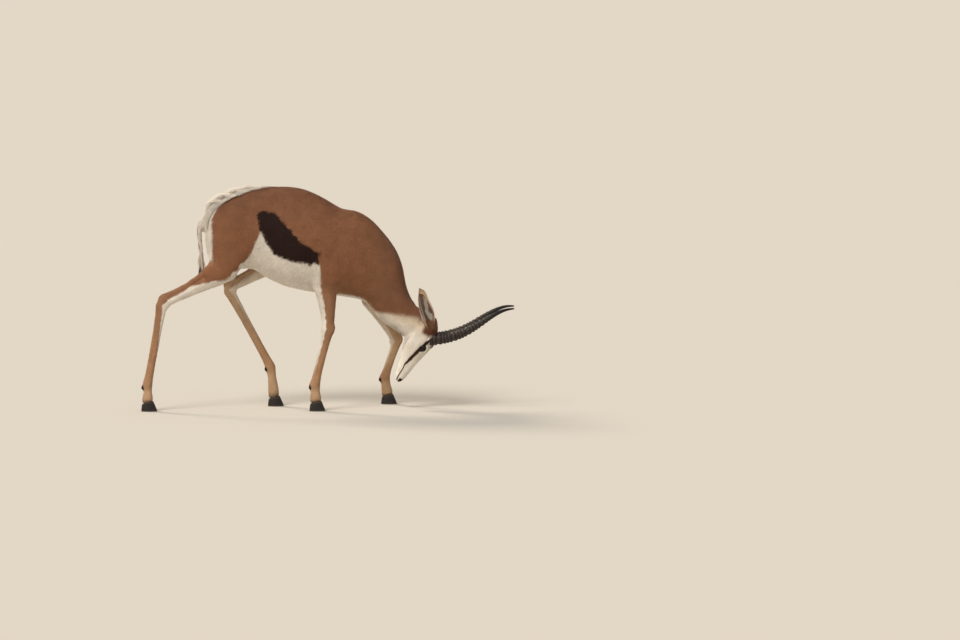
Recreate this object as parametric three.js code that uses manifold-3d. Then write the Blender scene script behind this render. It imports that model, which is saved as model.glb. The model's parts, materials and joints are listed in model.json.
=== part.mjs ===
// A life-size springbok ram, braced with its head down, as a still museum model.
// Millimetres, +Z up. The animal faces +X and its left side is +Y.
import * as THREE from 'three';
import { mergeVertices } from 'three/addons/utils/BufferGeometryUtils.js';
import Module from 'manifold-3d';

const wasm = await Module();
wasm.setup();

// Driving dimensions.
const GAP = 0.3; // space that neighbouring pieces keep
const CLEARANCE = 0.37; // how far a piece's swollen copy stands out when it cuts a neighbour
const TRUNK_SIDES = 30;
const HEAD_SIDES = 24;
const LEG_SIDES = 14;
const TAIL_SIDES = 10;
const DOME_TURNS = [35, 65]; // degrees round a domed end at which it gets a ring

// Trunk and neck. Each section: top x, top z, bottom x, bottom z, half width.
const TRUNK_SECTIONS = [
  [-331, 706, -326, 545, 52],
  [-318, 732, -312, 520, 76],
  [-285, 755, -280, 507, 93],
  [-235, 779, -232, 501, 99],
  [-173, 796, -172, 505, 95],
  [-126, 802, -130, 478, 93],
  [-43, 805, -55, 442, 104],
  [30, 791, 25, 424, 112],
  [100, 756, 100, 412, 113],
  [155, 724, 160, 404, 108],
  [205, 717, 205, 396, 99],
  [258, 686, 232, 387, 92],
  [306, 635, 250, 366, 84],
  [345, 583, 266, 344, 76],
  [371, 522, 283, 325, 68],
  [379, 478, 303, 310, 62],
  [388, 436, 328, 291, 57],
  [408, 391, 352, 274, 53],
  [446, 350, 383, 255, 50],
  [478, 322, 412, 238, 46],
];
const TRUNK_WIDEST = 0.52; // height of the widest level, as a share of each section
const TRUNK_SQUARE = 2.25;
const TRUNK_KEEL = 0.13; // how much narrower the back is than the belly

// Head: s runs from the poll to the nose, d towards the forehead.
const POLL = [468, 300];
const NOSE_DIRECTION = [-0.456, -0.89];
// Each section: s, top d, bottom d, half width.
const HEAD_SECTIONS = [
  [-24, 18, -40, 34],
  [-4, 31, -56, 44],
  [22, 40, -64, 49],
  [52, 42, -66, 52],
  [84, 38, -61, 51],
  [112, 30, -53, 42],
  [142, 22, -44, 32],
  [172, 15, -38, 26],
  [198, 10, -33, 24],
  [214, 6, -29, 23],
  [224, 0, -23, 18],
];
const HEAD_WIDEST = 0.56;
const HEAD_SQUARE = 2.35;
const HEAD_KEEL = 0.16;

const EYE_RADIUS = 15;
const EYE_PLACE = { s: 80, d: 13, y: 35.5 };
const LID_THICKNESS = 2.6;
const LID_OPENING = [27, 18];

const NOSTRIL_PLACE = { s: 219, d: -6, y: 13 };
const NOSTRIL_SIZE = [6.5, 2.6, 4.2];
const MOUTH_START = 158; // s of the corner of the mouth
const MOUTH_DROP = -20; // d of the mouth line at its corner
const MOUTH_DEPTH = 2.6;
const MOUTH_HEIGHT = 1.8;
const MOUTH_LENGTH = 120; // well past the nose
const MOUTH_TILT = -2; // degrees
const LID_TILT = 12;
const NOSTRIL_TILT = 35;

// Horns, along their curve: angle from the nose direction, and spread from the middle.
const HORN_ROOT = { s: 46, d: 30, y: 24 };
const HORN_LENGTH = 350;
const HORN_BASE_RADIUS = 20;
const HORN_TIP_RADIUS = 4;
const HORN_RINGS = 12;
const HORN_RING_HEIGHT = 1.9;
const HORN_LEAN = [122, 128, 138, 148, 150, 140, 118]; // degrees at even steps
const HORN_SPLAY = [14, 20, 22, 16, 2, -18, -34]; // outward degrees at the same steps
const HORN_SIDES = 10;
const HORN_SUNK = 12; // how deep the root starts in the head, before it is cut clear
const HORN_RINGED = 0.72; // share of the length that carries rings
const HORN_FLATNESS = 0.88;

const EAR_ROOT = { s: 2, d: 6, y: 36 };
const EAR_LENGTH = 160;
const EAR_HALF_WIDTH = 29;
const EAR_THICKNESS = 3.4;
const EAR_PITCH = 103; // degrees above +X, in the middle plane
const EAR_SPLAY = 34; // degrees outward
const EAR_WRAP = [128, 62]; // half angle that the leaf wraps round the cup, at the root and further up
const EAR_ROOT_SHARE = 0.52; // width at the root as a share of the full width
const EAR_WIDEST = 0.45; // share of the length where the ear is widest
const EAR_POINTED = 3.2; // larger for a blunter tip
const EAR_BEND = 8; // how far the tip leans forward
const EAR_BACK = [15, 27]; // how far its back lies behind its own line, at the root and higher up
const EAR_ROWS = 8;
const EAR_COLUMNS = 7;

// Joints of each leg, from the top down: x, y, z.
const HIND_RIGHT_JOINTS = [
  [-262, -60, 672], [-252, -72, 513], [-492, -94, 386], [-545, -98, 94], [-545, -98, 30],
];
const HIND_LEFT_JOINTS = [
  [-236, 56, 672], [-52, 79, 548], [-258, 95, 424], [-106, 101, 142], [-94, 102, 30],
];
const FORE_RIGHT_JOINTS = [
  [138, -83, 612], [94, -79, 462], [104, -82, 297], [56, -86, 94], [59, -87, 30],
];
const FORE_LEFT_JOINTS = [
  [252, 64, 560], [259, 76, 402], [348, 98, 240], [305, 170, 98], [314, 184, 30],
];
// Sections of a leg: joint number with the share of the way to the next joint,
// depth in front of the bone line, depth behind it, half width.
const HIND_SECTIONS = [
  [0.0, 60, 58, 28],
  [0.35, 82, 76, 41],
  [0.7, 84, 78, 43],
  [0.96, 54, 60, 39],
  [1.0, 44, 54, 37],
  [1.18, 44, 58, 34],
  [1.4, 34, 37, 24],
  [1.6, 27, 28, 18],
  [1.8, 21, 28, 14],
  [1.93, 21, 35, 15.5],
  [2.05, 21, 26, 16],
  [2.15, 18, 20, 14],
  [2.35, 16, 17, 12],
  [2.7, 15, 16, 12],
  [2.88, 15.5, 17, 14],
  [3.0, 18, 21, 16.5],
  [3.35, 16, 16, 14.5],
  [3.75, 21, 21, 17],
  [4.0, 19, 22, 16],
];
const FORE_SECTIONS = [
  [0.0, 60, 66, 22],
  [0.35, 70, 72, 33],
  [0.7, 62, 60, 36],
  [0.96, 50, 51, 32],
  [1.0, 47, 50, 30],
  [1.12, 45, 47, 28],
  [1.35, 39, 37, 22.5],
  [1.6, 32, 29, 18],
  [1.85, 25, 23, 16.5],
  [1.98, 25, 24, 18.5],
  [2.08, 23, 21, 17.5],
  [2.2, 19, 18, 14],
  [2.45, 16.5, 17, 12],
  [2.75, 15.5, 17, 12.5],
  [2.9, 17, 19, 14.5],
  [3.0, 20, 22.5, 17],
  [3.35, 17, 18, 15],
  [3.75, 22, 22, 17.5],
  [4.0, 20, 22, 16.5],
];
// Where a leg is divided, in the same joint numbers: body, shin and foot.
const HIND_CUTS = { body: 0.62, shin: 2.08, foot: 2.9 };
const FORE_CUTS = { body: 1.12, shin: 2.08, foot: 2.9 };

const CLAW_LENGTH = 60;
const CLAW_WIDTH = 19;
const CLAW_HEIGHT = 36;
const CLAW_SPLIT = 3; // clear space between the two claws of a foot
const CLAW_FORWARD = 2; // centre of the sole in front of the last joint
// Levels of a claw: share of its height, reach to the front and back as shares of its length,
// and half width as a share of its width.
const CLAW_LEVELS = [
  { up: 0, front: 0.54, back: 0.42, half: 0.5 },
  { up: 0.14, front: 0.53, back: 0.43, half: 0.53 },
  { up: 0.55, front: 0.41, back: 0.41, half: 0.53 },
  { up: 1, front: 0.3, back: 0.38, half: 0.48 },
];
const CLAW_SIDES = 12;
const CLAW_TAPER = 0.5; // how much narrower a claw is at its toe
const CLAW_INNER = 0.86; // reach of the flatter inner wall
const CLAW_HEEL_DROP = 0.3; // how much lower its top is at the heel
const DEWCLAW_SIZE = [9, 6, 12];
const DEWCLAW_PLACE = { back: 19, aside: 9, below: 8, tilt: 25 };

// The planes that part the trunk: a point x, z on each and the plane's lean in degrees.
const RUMP_PLANE = { x: -112, z: 640, lean: 2 };
const CHEST_PLANE = { x: 46, z: 600, lean: 4 };
const NECK_PLANE = { x: 300, z: 490, lean: -13 };
const HEAD_PLANE = { x: 428, z: 302, lean: -38 };

// Tail: points along it, x and z, and its radius at each.
const TAIL_POINTS = [
  [-330, 690, 13], [-352, 668, 12.5], [-360, 640, 10], [-358, 600, 8],
  [-354, 560, 7.5], [-352, 520, 7.5], [-354, 485, 4],
];

// Locks of long hair: the raised crest over the croup, and the tuft of the tail.
const CREST = { length: 54, width: 25, thickness: 5, lift: 15 };
const CREST_ROWS = 11;
const CREST_COLUMNS = 3; // in every other row, and one fewer in the rows between
const CREST_SPAN = [0.8, 4.4]; // first and last row, counted in trunk sections
const CREST_SPREAD = 11; // degrees round the back from one column to the next
const CREST_UNREST = { turn: 3, place: 0.12, way: 0.15, size: 0.15 };
const CREST_FLARE = 0.012; // how much the locks at the sides turn outwards and shorten, per degree
const ROOT_DEPTH = 3;
const TUFT = { length: 62, width: 11, thickness: 5, lift: 5 };
const TUFT_COUNT = 8;
const TUFT_TURN = 2.4; // radians round the tail from one lock to the next
const TUFT_SIZES = [0.8, 1.1];
// Rings of a lock: share of its length, and size as a share of the full width.
const LOCK_RINGS = [[-0.12, 0.8], [0.3, 1], [0.68, 0.62]];
const RANDOM_SEED = 11;

const COLOURS = {
  coat: 0x9c6238,
  pale: 0xc9a27c,
  white: 0xe9e0d2,
  face: 0xeee6da,
  horn: 0x1d1815,
  claw: 0x221c18,
  eye: 0x120c08,
};

// Vectors and small numbers.
const radians = (degrees) => (degrees * Math.PI) / 180;
const vec = (x, y, z) => new THREE.Vector3(x, y, z);
const mix = (a, b, t) => a + (b - a) * t;

// A small random generator with a fixed seed, so that every run is the same.
function seededRandom(seed) {
  let state = seed;
  return () => {
    state = (state * 1664525 + 1013904223) % 4294967296;
    return state / 4294967296;
  };
}

function catmullRom(a, b, c, d, t) {
  const t2 = t * t;
  const t3 = t2 * t;
  return 0.5 * (2 * b + (c - a) * t + (2 * a - 5 * b + 4 * c - d) * t2 + (3 * b - a - 3 * c + d) * t3);
}

// Fills in rows between the given rows of numbers, each column on its own smooth curve.
function smoothRows(rows, steps) {
  const last = rows.length - 1;
  const out = [];
  for (let i = 0; i < last; i += 1) {
    const before = rows[Math.max(i - 1, 0)];
    const after = rows[Math.min(i + 2, last)];
    const next = rows[i + 1];
    for (let k = 0; k < steps; k += 1) {
      out.push(rows[i].map((value, c) => catmullRom(before[c], value, next[c], after[c], k / steps)));
    }
  }
  out.push(rows[last].slice());
  return out;
}

// Reads one value of an evenly spaced list at a share t from 0 to 1.
function along(list, t) {
  const place = Math.min(Math.max(t, 0), 1) * (list.length - 1);
  const i = Math.min(Math.floor(place), list.length - 2);
  const before = list[Math.max(i - 1, 0)];
  const after = list[Math.min(i + 2, list.length - 1)];
  return catmullRom(before, list[i], list[i + 1], after, place - i);
}

// A closed solid from points and triangles, turned so that its faces point outwards.
function solidOf(points, faces) {
  const vertProperties = new Float32Array(points.flatMap((p) => [p.x, p.y, p.z]));
  let volume = 0;
  for (const [a, b, c] of faces) {
    volume += points[a].dot(points[b].clone().cross(points[c]));
  }
  const triVerts = new Uint32Array(volume > 0 ? faces.flat() : faces.flatMap(([a, b, c]) => [a, c, b]));
  return new wasm.Manifold(new wasm.Mesh({ numProp: 3, vertProperties, triVerts }));
}

// A closed solid from a three.js geometry, with its shared corners merged.
function solidOfGeometry(geometry, matrix) {
  const bare = geometry.clone();
  bare.deleteAttribute('normal');
  bare.deleteAttribute('uv');
  const merged = mergeVertices(bare, 1e-4);
  if (matrix) merged.applyMatrix4(matrix);
  const place = merged.getAttribute('position');
  const points = [];
  for (let i = 0; i < place.count; i += 1) {
    points.push(vec(place.getX(i), place.getY(i), place.getZ(i)));
  }
  const order = Array.from(merged.index.array);
  const faces = [];
  for (let i = 0; i < order.length; i += 3) {
    faces.push(order.slice(i, i + 3));
  }
  return solidOf(points, faces);
}

// Joins rings of points, all with the same count, and closes both ends with a fan.
function skinRings(rings, startTip, endTip) {
  const count = rings[0].length;
  const points = rings.flat().concat([startTip, endTip]);
  const start = rings.length * count;
  const faces = [];
  for (let r = 0; r < rings.length - 1; r += 1) {
    for (let i = 0; i < count; i += 1) {
      const j = (i + 1) % count;
      const a = r * count + i;
      const b = r * count + j;
      faces.push([a, b, a + count], [b, b + count, a + count]);
    }
  }
  const last = start - count;
  for (let i = 0; i < count; i += 1) {
    const j = (i + 1) % count;
    faces.push([start, j, i], [start + 1, last + i, last + j]);
  }
  return solidOf(points, faces);
}

const centreOf = (ring) => ring.reduce((sum, p) => sum.add(p), vec(0, 0, 0)).divideScalar(ring.length);

// One cross-section row: centre x, y, z; up x, up z; reach up, reach down, half width.
function sectionRing(row, sides, square, keel) {
  const [x, y, z, upX, upZ, reachUp, reachDown, halfWidth] = row;
  const size = Math.hypot(upX, upZ);
  const ring = [];
  for (let i = 0; i < sides; i += 1) {
    const angle = (2 * Math.PI * (i + 0.5)) / sides;
    const across = Math.cos(angle);
    const height = Math.sin(angle);
    const power = 2 / square;
    const side = halfWidth * Math.sign(across) * Math.abs(across) ** power * (1 - keel * height);
    const lift = (height > 0 ? reachUp : reachDown) * Math.sign(height) * Math.abs(height) ** power;
    ring.push(vec(x + (upX / size) * lift, y + side, z + (upZ / size) * lift));
  }
  return ring;
}

// A rounded body through cross-section rows, with domed ends.
function loft(rows, { sides, square = 2, keel = 0, steps = 2, domes = [0, 0], shrink = 0 }) {
  const rings = smoothRows(rows, steps).map((row) => {
    const reaches = row.slice(5).map((reach) => reach - shrink);
    return sectionRing([...row.slice(0, 5), ...reaches], sides, square, keel);
  });
  const first = centreOf(rings[0]);
  const last = centreOf(rings[rings.length - 1]);
  const startWay = first.clone().sub(centreOf(rings[1])).normalize();
  const endWay = last.clone().sub(centreOf(rings[rings.length - 2])).normalize();
  const dome = (ring, centre, way, depth) => DOME_TURNS.map(radians).map((turn) => ring.map((p) => {
    const drawnIn = p.clone().sub(centre).multiplyScalar(Math.cos(turn)).add(centre);
    return drawnIn.addScaledVector(way, depth * Math.sin(turn));
  }));
  const [startDepth, endDepth] = domes;
  if (startDepth > 0) rings.unshift(...dome(rings[0], first, startWay, startDepth).reverse());
  if (endDepth > 0) rings.push(...dome(rings[rings.length - 1], last, endWay, endDepth));
  const startTip = first.addScaledVector(startWay, startDepth);
  return skinRings(rings, startTip, last.addScaledVector(endWay, endDepth));
}

// A section row from the top and bottom points of a section.
function rowFromEdges(topX, topZ, bottomX, bottomZ, halfWidth, widest) {
  const upX = topX - bottomX;
  const upZ = topZ - bottomZ;
  const height = Math.hypot(upX, upZ);
  return [
    mix(bottomX, topX, widest), 0, mix(bottomZ, topZ, widest),
    upX / height, upZ / height, height * (1 - widest), height * widest, halfWidth,
  ];
}

// The two halves of a solid on either side of a plane that leans forward by a few degrees.
function partAt(solid, { x, z, lean }) {
  const normal = [Math.cos(radians(lean)), 0, Math.sin(radians(lean))];
  const offset = x * normal[0] + z * normal[2];
  const back = normal.map((value) => -value);
  return {
    behind: solid.trimByPlane(back, -(offset - GAP / 2)),
    ahead: solid.trimByPlane(normal, offset + GAP / 2),
  };
}

// The same for a plane with any normal through a point.
function partAcross(solid, point, normal) {
  const offset = point.dot(normal);
  const way = normal.toArray();
  return {
    before: solid.trimByPlane(way.map((value) => -value), -(offset - GAP / 2)),
    after: solid.trimByPlane(way, offset + GAP / 2),
  };
}

// The largest closed surface of a solid: scraps and sealed hollows are dropped.
function largest(solid) {
  const pieces = solid.decompose();
  return pieces.reduce((best, piece) => (piece.volume() > best.volume() ? piece : best));
}

// A copy whose surface stands out by the gap, for cutting a neighbour clear of it.
function swollen(solid, reach = CLEARANCE) {
  const mesh = solid.getMesh();
  const geometry = new THREE.BufferGeometry();
  geometry.setAttribute('position', new THREE.BufferAttribute(Float32Array.from(mesh.vertProperties), 3));
  geometry.setIndex(new THREE.BufferAttribute(Uint32Array.from(mesh.triVerts), 1));
  geometry.computeVertexNormals();
  const place = geometry.getAttribute('position');
  const normal = geometry.getAttribute('normal');
  const moved = new Float32Array(place.count * 3);
  for (let i = 0; i < place.count * 3; i += 1) {
    moved[i] = place.array[i] + normal.array[i] * reach;
  }
  return new wasm.Manifold(new wasm.Mesh({ numProp: 3, vertProperties: moved, triVerts: mesh.triVerts }));
}

const clearOf = (solid, ...others) => others.reduce((rest, other) => rest.subtract(swollen(other)), solid);

// Trunk and neck.
const trunkRows = () => TRUNK_SECTIONS.map(([topX, topZ, bottomX, bottomZ, halfWidth]) => (
  rowFromEdges(topX, topZ, bottomX, bottomZ, halfWidth, TRUNK_WIDEST)));

function makeTrunk() {
  return loft(trunkRows(), { sides: TRUNK_SIDES, square: TRUNK_SQUARE, keel: TRUNK_KEEL, domes: [12, 10] });
}

// A flat lock of hair that tapers and bends from its sunk root along a way.
function makeLock(root, way, normal, { length, width, thickness, lift }) {
  const across = way.clone().cross(normal).normalize();
  const rings = LOCK_RINGS.map(([t, size]) => {
    const rise = lift * (1.7 * t - 0.7 * t * t); // steep at the root, level at the tip
    const middle = root.clone().addScaledVector(way, length * t).addScaledVector(normal, rise);
    const half = across.clone().multiplyScalar((width * size) / 2);
    const thick = normal.clone().multiplyScalar((thickness * size) / 2);
    const corner = (offset, ways) => middle.clone().addScaledVector(offset, ways);
    return [corner(half, 1), corner(thick, 1), corner(half, -1), corner(thick, -1)];
  });
  const tip = root.clone().addScaledVector(way, length).addScaledVector(normal, lift);
  return skinRings(rings, centreOf(rings[0]), tip);
}

// A point on the trunk, with the way towards the tail and the way out of the body there.
function trunkSurface(rows, place, angle) {
  const at = (where) => {
    const i = Math.min(Math.floor(where), rows.length - 2);
    const row = rows[i].map((value, c) => mix(value, rows[i + 1][c], where - i));
    const [x, , z, upX, upZ, reachUp, , halfWidth] = row;
    const lift = reachUp * Math.abs(Math.sin(angle)) ** (2 / TRUNK_SQUARE);
    const across = Math.cos(angle);
    const side = halfWidth * Math.sign(across) * Math.abs(across) ** (2 / TRUNK_SQUARE) * (1 - TRUNK_KEEL);
    return vec(x + upX * lift, side, z + upZ * lift);
  };
  const point = at(place);
  const step = 0.3; // of the way to the section behind
  const back = at(place - step).sub(point).normalize();
  const out = vec(0, Math.cos(angle), Math.sin(angle));
  out.addScaledVector(back, -out.dot(back)).normalize();
  return { point, back, out };
}

// The crest: locks in rows from the loins to the root of the tail, the upper ones lying over the next.
function crestLocks() {
  const random = seededRandom(RANDOM_SEED);
  const about = (reach) => (random() - 0.5) * reach;
  const rows = trunkRows();
  const locks = [];
  for (let i = 0; i < CREST_ROWS; i += 1) {
    const t = i / (CREST_ROWS - 1);
    const columns = CREST_COLUMNS - (i % 2);
    for (let k = 0; k < columns; k += 1) {
      const turn = (k - (columns - 1) / 2) * CREST_SPREAD + about(CREST_UNREST.turn);
      const place = mix(...CREST_SPAN, t) + about(CREST_UNREST.place);
      const { point, back, out } = trunkSurface(rows, place, radians(90 + turn));
      const aside = -turn * CREST_FLARE + about(CREST_UNREST.way);
      const way = back.addScaledVector(vec(0, 1, 0), aside).normalize();
      const swell = Math.sin(Math.PI * mix(0.85, 0.25, t)); // longest in the middle of the croup
      const size = swell * (1 + about(2 * CREST_UNREST.size)) * (1 - Math.abs(turn) * CREST_FLARE);
      const root = point.clone().addScaledVector(out, -ROOT_DEPTH);
      locks.push(makeLock(root, way, out, {
        ...CREST, length: CREST.length * size, lift: CREST.lift * size + ROOT_DEPTH,
      }));
    }
  }
  return locks;
}

// The tuft: locks all round the last part of the tail, down to its tip.
function tuftLocks() {
  const random = seededRandom(RANDOM_SEED + 1);
  const [start, end] = TAIL_POINTS.slice(-2);
  const locks = [];
  for (let i = 0; i < TUFT_COUNT; i += 1) {
    const turn = i * TUFT_TURN;
    const [x, z, radius] = start.map((value, c) => mix(value, end[c], i / TUFT_COUNT));
    const out = vec(-Math.abs(Math.cos(turn)), Math.sin(turn), 0).normalize();
    const root = vec(x, 0, z).addScaledVector(out, radius * 0.45);
    const way = vec(-0.04 + out.x * 0.1, out.y * 0.12, -1).normalize();
    const size = mix(...TUFT_SIZES, random());
    locks.push(makeLock(root, way, out.addScaledVector(way, -out.dot(way)).normalize(), {
      ...TUFT, length: TUFT.length * size,
    }));
  }
  return locks;
}

// Head frame: a point from s, d and y.
function headPoint(s, d, y) {
  const [nx, nz] = NOSE_DIRECTION;
  return vec(POLL[0] + s * nx - d * nz, y, POLL[1] + s * nz + d * nx);
}

const headAxes = () => {
  const [nx, nz] = NOSE_DIRECTION;
  return { nose: vec(nx, 0, nz), brow: vec(-nz, 0, nx), left: vec(0, 1, 0) };
};

function headRows() {
  return HEAD_SECTIONS.map(([s, top, bottom, w]) => {
    const high = headPoint(s, top, 0);
    const low = headPoint(s, bottom, 0);
    return rowFromEdges(high.x, high.z, low.x, low.z, w, HEAD_WIDEST);
  });
}

// Matrix that turns x, y, z into the nose, left and brow directions of the head at a place.
function headMatrix(place, side, tilt = 0) {
  const { nose, brow, left } = headAxes();
  const at = headPoint(place.s, place.d, place.y * side);
  const basis = new THREE.Matrix4().makeBasis(nose, left, brow);
  basis.multiply(new THREE.Matrix4().makeRotationY(radians(tilt)));
  return new THREE.Matrix4().makeTranslation(at.x, at.y, at.z).multiply(basis);
}

function ellipsoid(radii, matrix, widthSegments = 16, heightSegments = 10) {
  const geometry = new THREE.SphereGeometry(1, widthSegments, heightSegments);
  return solidOfGeometry(geometry, matrix.clone().scale(vec(...radii)));
}

// The almond opening between the lids, as a prism that runs outwards from the eye.
function lidOpening(side) {
  const [length, height] = LID_OPENING;
  const almond = new THREE.Shape();
  almond.moveTo(-length / 2, -1);
  almond.quadraticCurveTo(-length * 0.12, height, length / 2, 0);
  almond.quadraticCurveTo(length * 0.1, -height, -length / 2, -1);
  const geometry = new THREE.ExtrudeGeometry(almond, { depth: 40, bevelEnabled: false, curveSegments: 7 });
  const turn = new THREE.Matrix4().makeRotationX(radians(-90 * side));
  return solidOfGeometry(geometry, headMatrix(EYE_PLACE, side, LID_TILT).multiply(turn));
}

function makeHead() {
  const rows = headRows();
  const options = { sides: HEAD_SIDES, square: HEAD_SQUARE, keel: HEAD_KEEL, domes: [10, 9] };
  let head = loft(rows, options);
  const inner = loft(rows, { ...options, shrink: MOUTH_DEPTH });
  const slab = new THREE.BoxGeometry(MOUTH_LENGTH, 2 * MOUTH_LENGTH, MOUTH_HEIGHT);
  const mouth = { s: MOUTH_START + MOUTH_LENGTH / 2, d: MOUTH_DROP + 1, y: 0 };
  head = head.subtract(solidOfGeometry(slab, headMatrix(mouth, 1, MOUTH_TILT)).subtract(inner));
  for (const side of [-1, 1]) {
    const eye = headMatrix(EYE_PLACE, side);
    const lid = EYE_RADIUS + LID_THICKNESS;
    head = head.add(ellipsoid([lid, lid, lid], eye, 12, 8));
    head = head.subtract(lidOpening(side));
    head = head.subtract(ellipsoid(NOSTRIL_SIZE, headMatrix(NOSTRIL_PLACE, side, NOSTRIL_TILT), 8, 6));
  }
  return head;
}

function makeEye(side) {
  return ellipsoid([EYE_RADIUS, EYE_RADIUS, EYE_RADIUS], headMatrix(EYE_PLACE, side), 12, 8);
}

// A horn: a ringed tube whose direction turns along its length.
function makeHorn(side) {
  const { nose, brow, left } = headAxes();
  const steps = HORN_RINGS * 3;
  const rings = [];
  let place = headPoint(HORN_ROOT.s, HORN_ROOT.d - HORN_SUNK, HORN_ROOT.y * side);
  let way = brow;
  for (let i = 0; i <= steps; i += 1) {
    const t = i / steps;
    const lean = radians(along(HORN_LEAN, t));
    const splay = radians(along(HORN_SPLAY, t)) * side;
    way = nose.clone().multiplyScalar(Math.cos(lean)).addScaledVector(brow, Math.sin(lean));
    way.multiplyScalar(Math.cos(splay)).addScaledVector(left, Math.sin(splay));
    const taper = mix(HORN_BASE_RADIUS, HORN_TIP_RADIUS, t ** 1.25);
    const ringed = t < HORN_RINGED && i % 3 === 1 ? HORN_RING_HEIGHT : 0;
    const outward = left.clone().addScaledVector(way, -left.dot(way)).normalize();
    const across = way.clone().cross(outward);
    const ring = [];
    for (let k = 0; k < HORN_SIDES; k += 1) {
      const angle = (2 * Math.PI * k) / HORN_SIDES;
      const reach = taper + ringed * (0.7 + 0.3 * Math.cos(angle * 2));
      ring.push(place.clone().addScaledVector(outward, Math.cos(angle) * reach * HORN_FLATNESS)
        .addScaledVector(across, Math.sin(angle) * reach));
    }
    rings.push(ring);
    place = place.clone().addScaledVector(way, HORN_LENGTH / steps);
  }
  const tip = centreOf(rings[steps]).addScaledVector(way, HORN_TIP_RADIUS * 2);
  return skinRings(rings, centreOf(rings[0]), tip);
}

// An ear: a leaf rolled into a cup that opens forwards and outwards.
function makeEar(side) {
  const pitch = radians(EAR_PITCH);
  const splay = radians(EAR_SPLAY) * side;
  const long = vec(Math.cos(pitch) * Math.cos(splay), Math.sin(splay), Math.sin(pitch) * Math.cos(splay));
  const mouth = vec(0.75, 0.72 * side, -0.1);
  mouth.addScaledVector(long, -mouth.dot(long)).normalize();
  const wide = long.clone().cross(mouth);
  const root = headPoint(EAR_ROOT.s, EAR_ROOT.d, EAR_ROOT.y * side);
  const outer = [];
  const inner = [];
  for (let r = 0; r < EAR_ROWS; r += 1) {
    const t = r / EAR_ROWS;
    const opening = Math.sin(Math.PI * 0.5 * Math.min(t / EAR_WIDEST, 1));
    const halfWidth = EAR_HALF_WIDTH * mix(EAR_ROOT_SHARE, 1, opening) * Math.sqrt(1 - t ** EAR_POINTED);
    const wrap = radians(mix(...EAR_WRAP, Math.min(t * 1.6, 1)));
    const radius = halfWidth / Math.sin(Math.min(wrap, Math.PI / 2));
    const forward = EAR_BEND * t * t - mix(...EAR_BACK, opening) + radius;
    const middle = root.clone().addScaledVector(long, EAR_LENGTH * t).addScaledVector(mouth, forward);
    for (let c = 0; c <= EAR_COLUMNS; c += 1) {
      const angle = mix(-wrap, wrap, c / EAR_COLUMNS);
      const spoke = mouth.clone().multiplyScalar(-Math.cos(angle)).addScaledVector(wide, Math.sin(angle));
      const thin = Math.min(EAR_THICKNESS, radius * 0.4) * mix(1, 0.6, Math.abs(angle) / wrap);
      outer.push(middle.clone().addScaledVector(spoke, radius));
      inner.push(middle.clone().addScaledVector(spoke, radius - thin));
    }
  }
  const tip = root.clone().addScaledVector(long, EAR_LENGTH).addScaledVector(mouth, EAR_BEND - EAR_BACK[1]);
  return solidOf([...outer, ...inner, tip], leafFaces(EAR_ROWS, EAR_COLUMNS));
}

// Faces of a leaf with an outer and an inner skin of rows and columns, its edges, root and tip.
function leafFaces(rows, columns) {
  const width = columns + 1;
  const shift = rows * width;
  const faces = [];
  const quad = (a, b, c, d) => faces.push([a, b, c], [a, c, d]);
  for (let r = 0; r < rows - 1; r += 1) {
    for (let c = 0; c < columns; c += 1) {
      const a = r * width + c;
      quad(a, a + 1, a + width + 1, a + width);
      quad(a + shift, a + shift + width, a + shift + width + 1, a + shift + 1);
    }
    const near = r * width;
    const far = near + columns;
    quad(near, near + width, near + width + shift, near + shift);
    quad(far, far + shift, far + width + shift, far + width);
  }
  const top = (rows - 1) * width;
  const tip = shift * 2;
  for (let c = 0; c < columns; c += 1) {
    quad(c, c + shift, c + 1 + shift, c + 1);
    faces.push([top + c, top + c + 1, tip], [top + c + 1 + shift, top + c + shift, tip]);
  }
  faces.push([top + shift, top, tip], [top + columns, top + columns + shift, tip]);
  return faces;
}

// A leg: rows of sections along its joints.
function jointPoint(joints, place) {
  const i = Math.min(Math.floor(place), joints.length - 2);
  return vec(...joints[i]).lerp(vec(...joints[i + 1]), place - i);
}

// The way a leg points at a place, not reaching back past an earlier joint.
function legDirection(joints, place, from = 0) {
  const reach = 0.25; // share of a bone over which a joint bends
  const before = jointPoint(joints, Math.max(place - reach, from));
  const after = jointPoint(joints, Math.min(place + reach, joints.length - 1));
  return after.sub(before).normalize();
}

// A leg is two bodies joined: the thigh or upper arm, and everything below it.
function makeLeg(joints, sections) {
  const row = ([place, front, back, halfWidth], way) => {
    const centre = jointPoint(joints, place);
    return [centre.x, centre.y, centre.z, -way.z, way.x, front, back, halfWidth];
  };
  const topWay = vec(...joints[1]).sub(vec(...joints[0])).normalize();
  const top = sections.filter(([place]) => place < 1).map((section) => row(section, topWay));
  const below = sections.filter(([place]) => place >= 1);
  const low = below.map((section) => row(section, legDirection(joints, section[0], 1)));
  const options = { sides: LEG_SIDES, square: 2.15, steps: 1 };
  return loft(top, { ...options, domes: [34, 26] }).add(loft(low, { ...options, domes: [28, 0] }));
}

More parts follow.
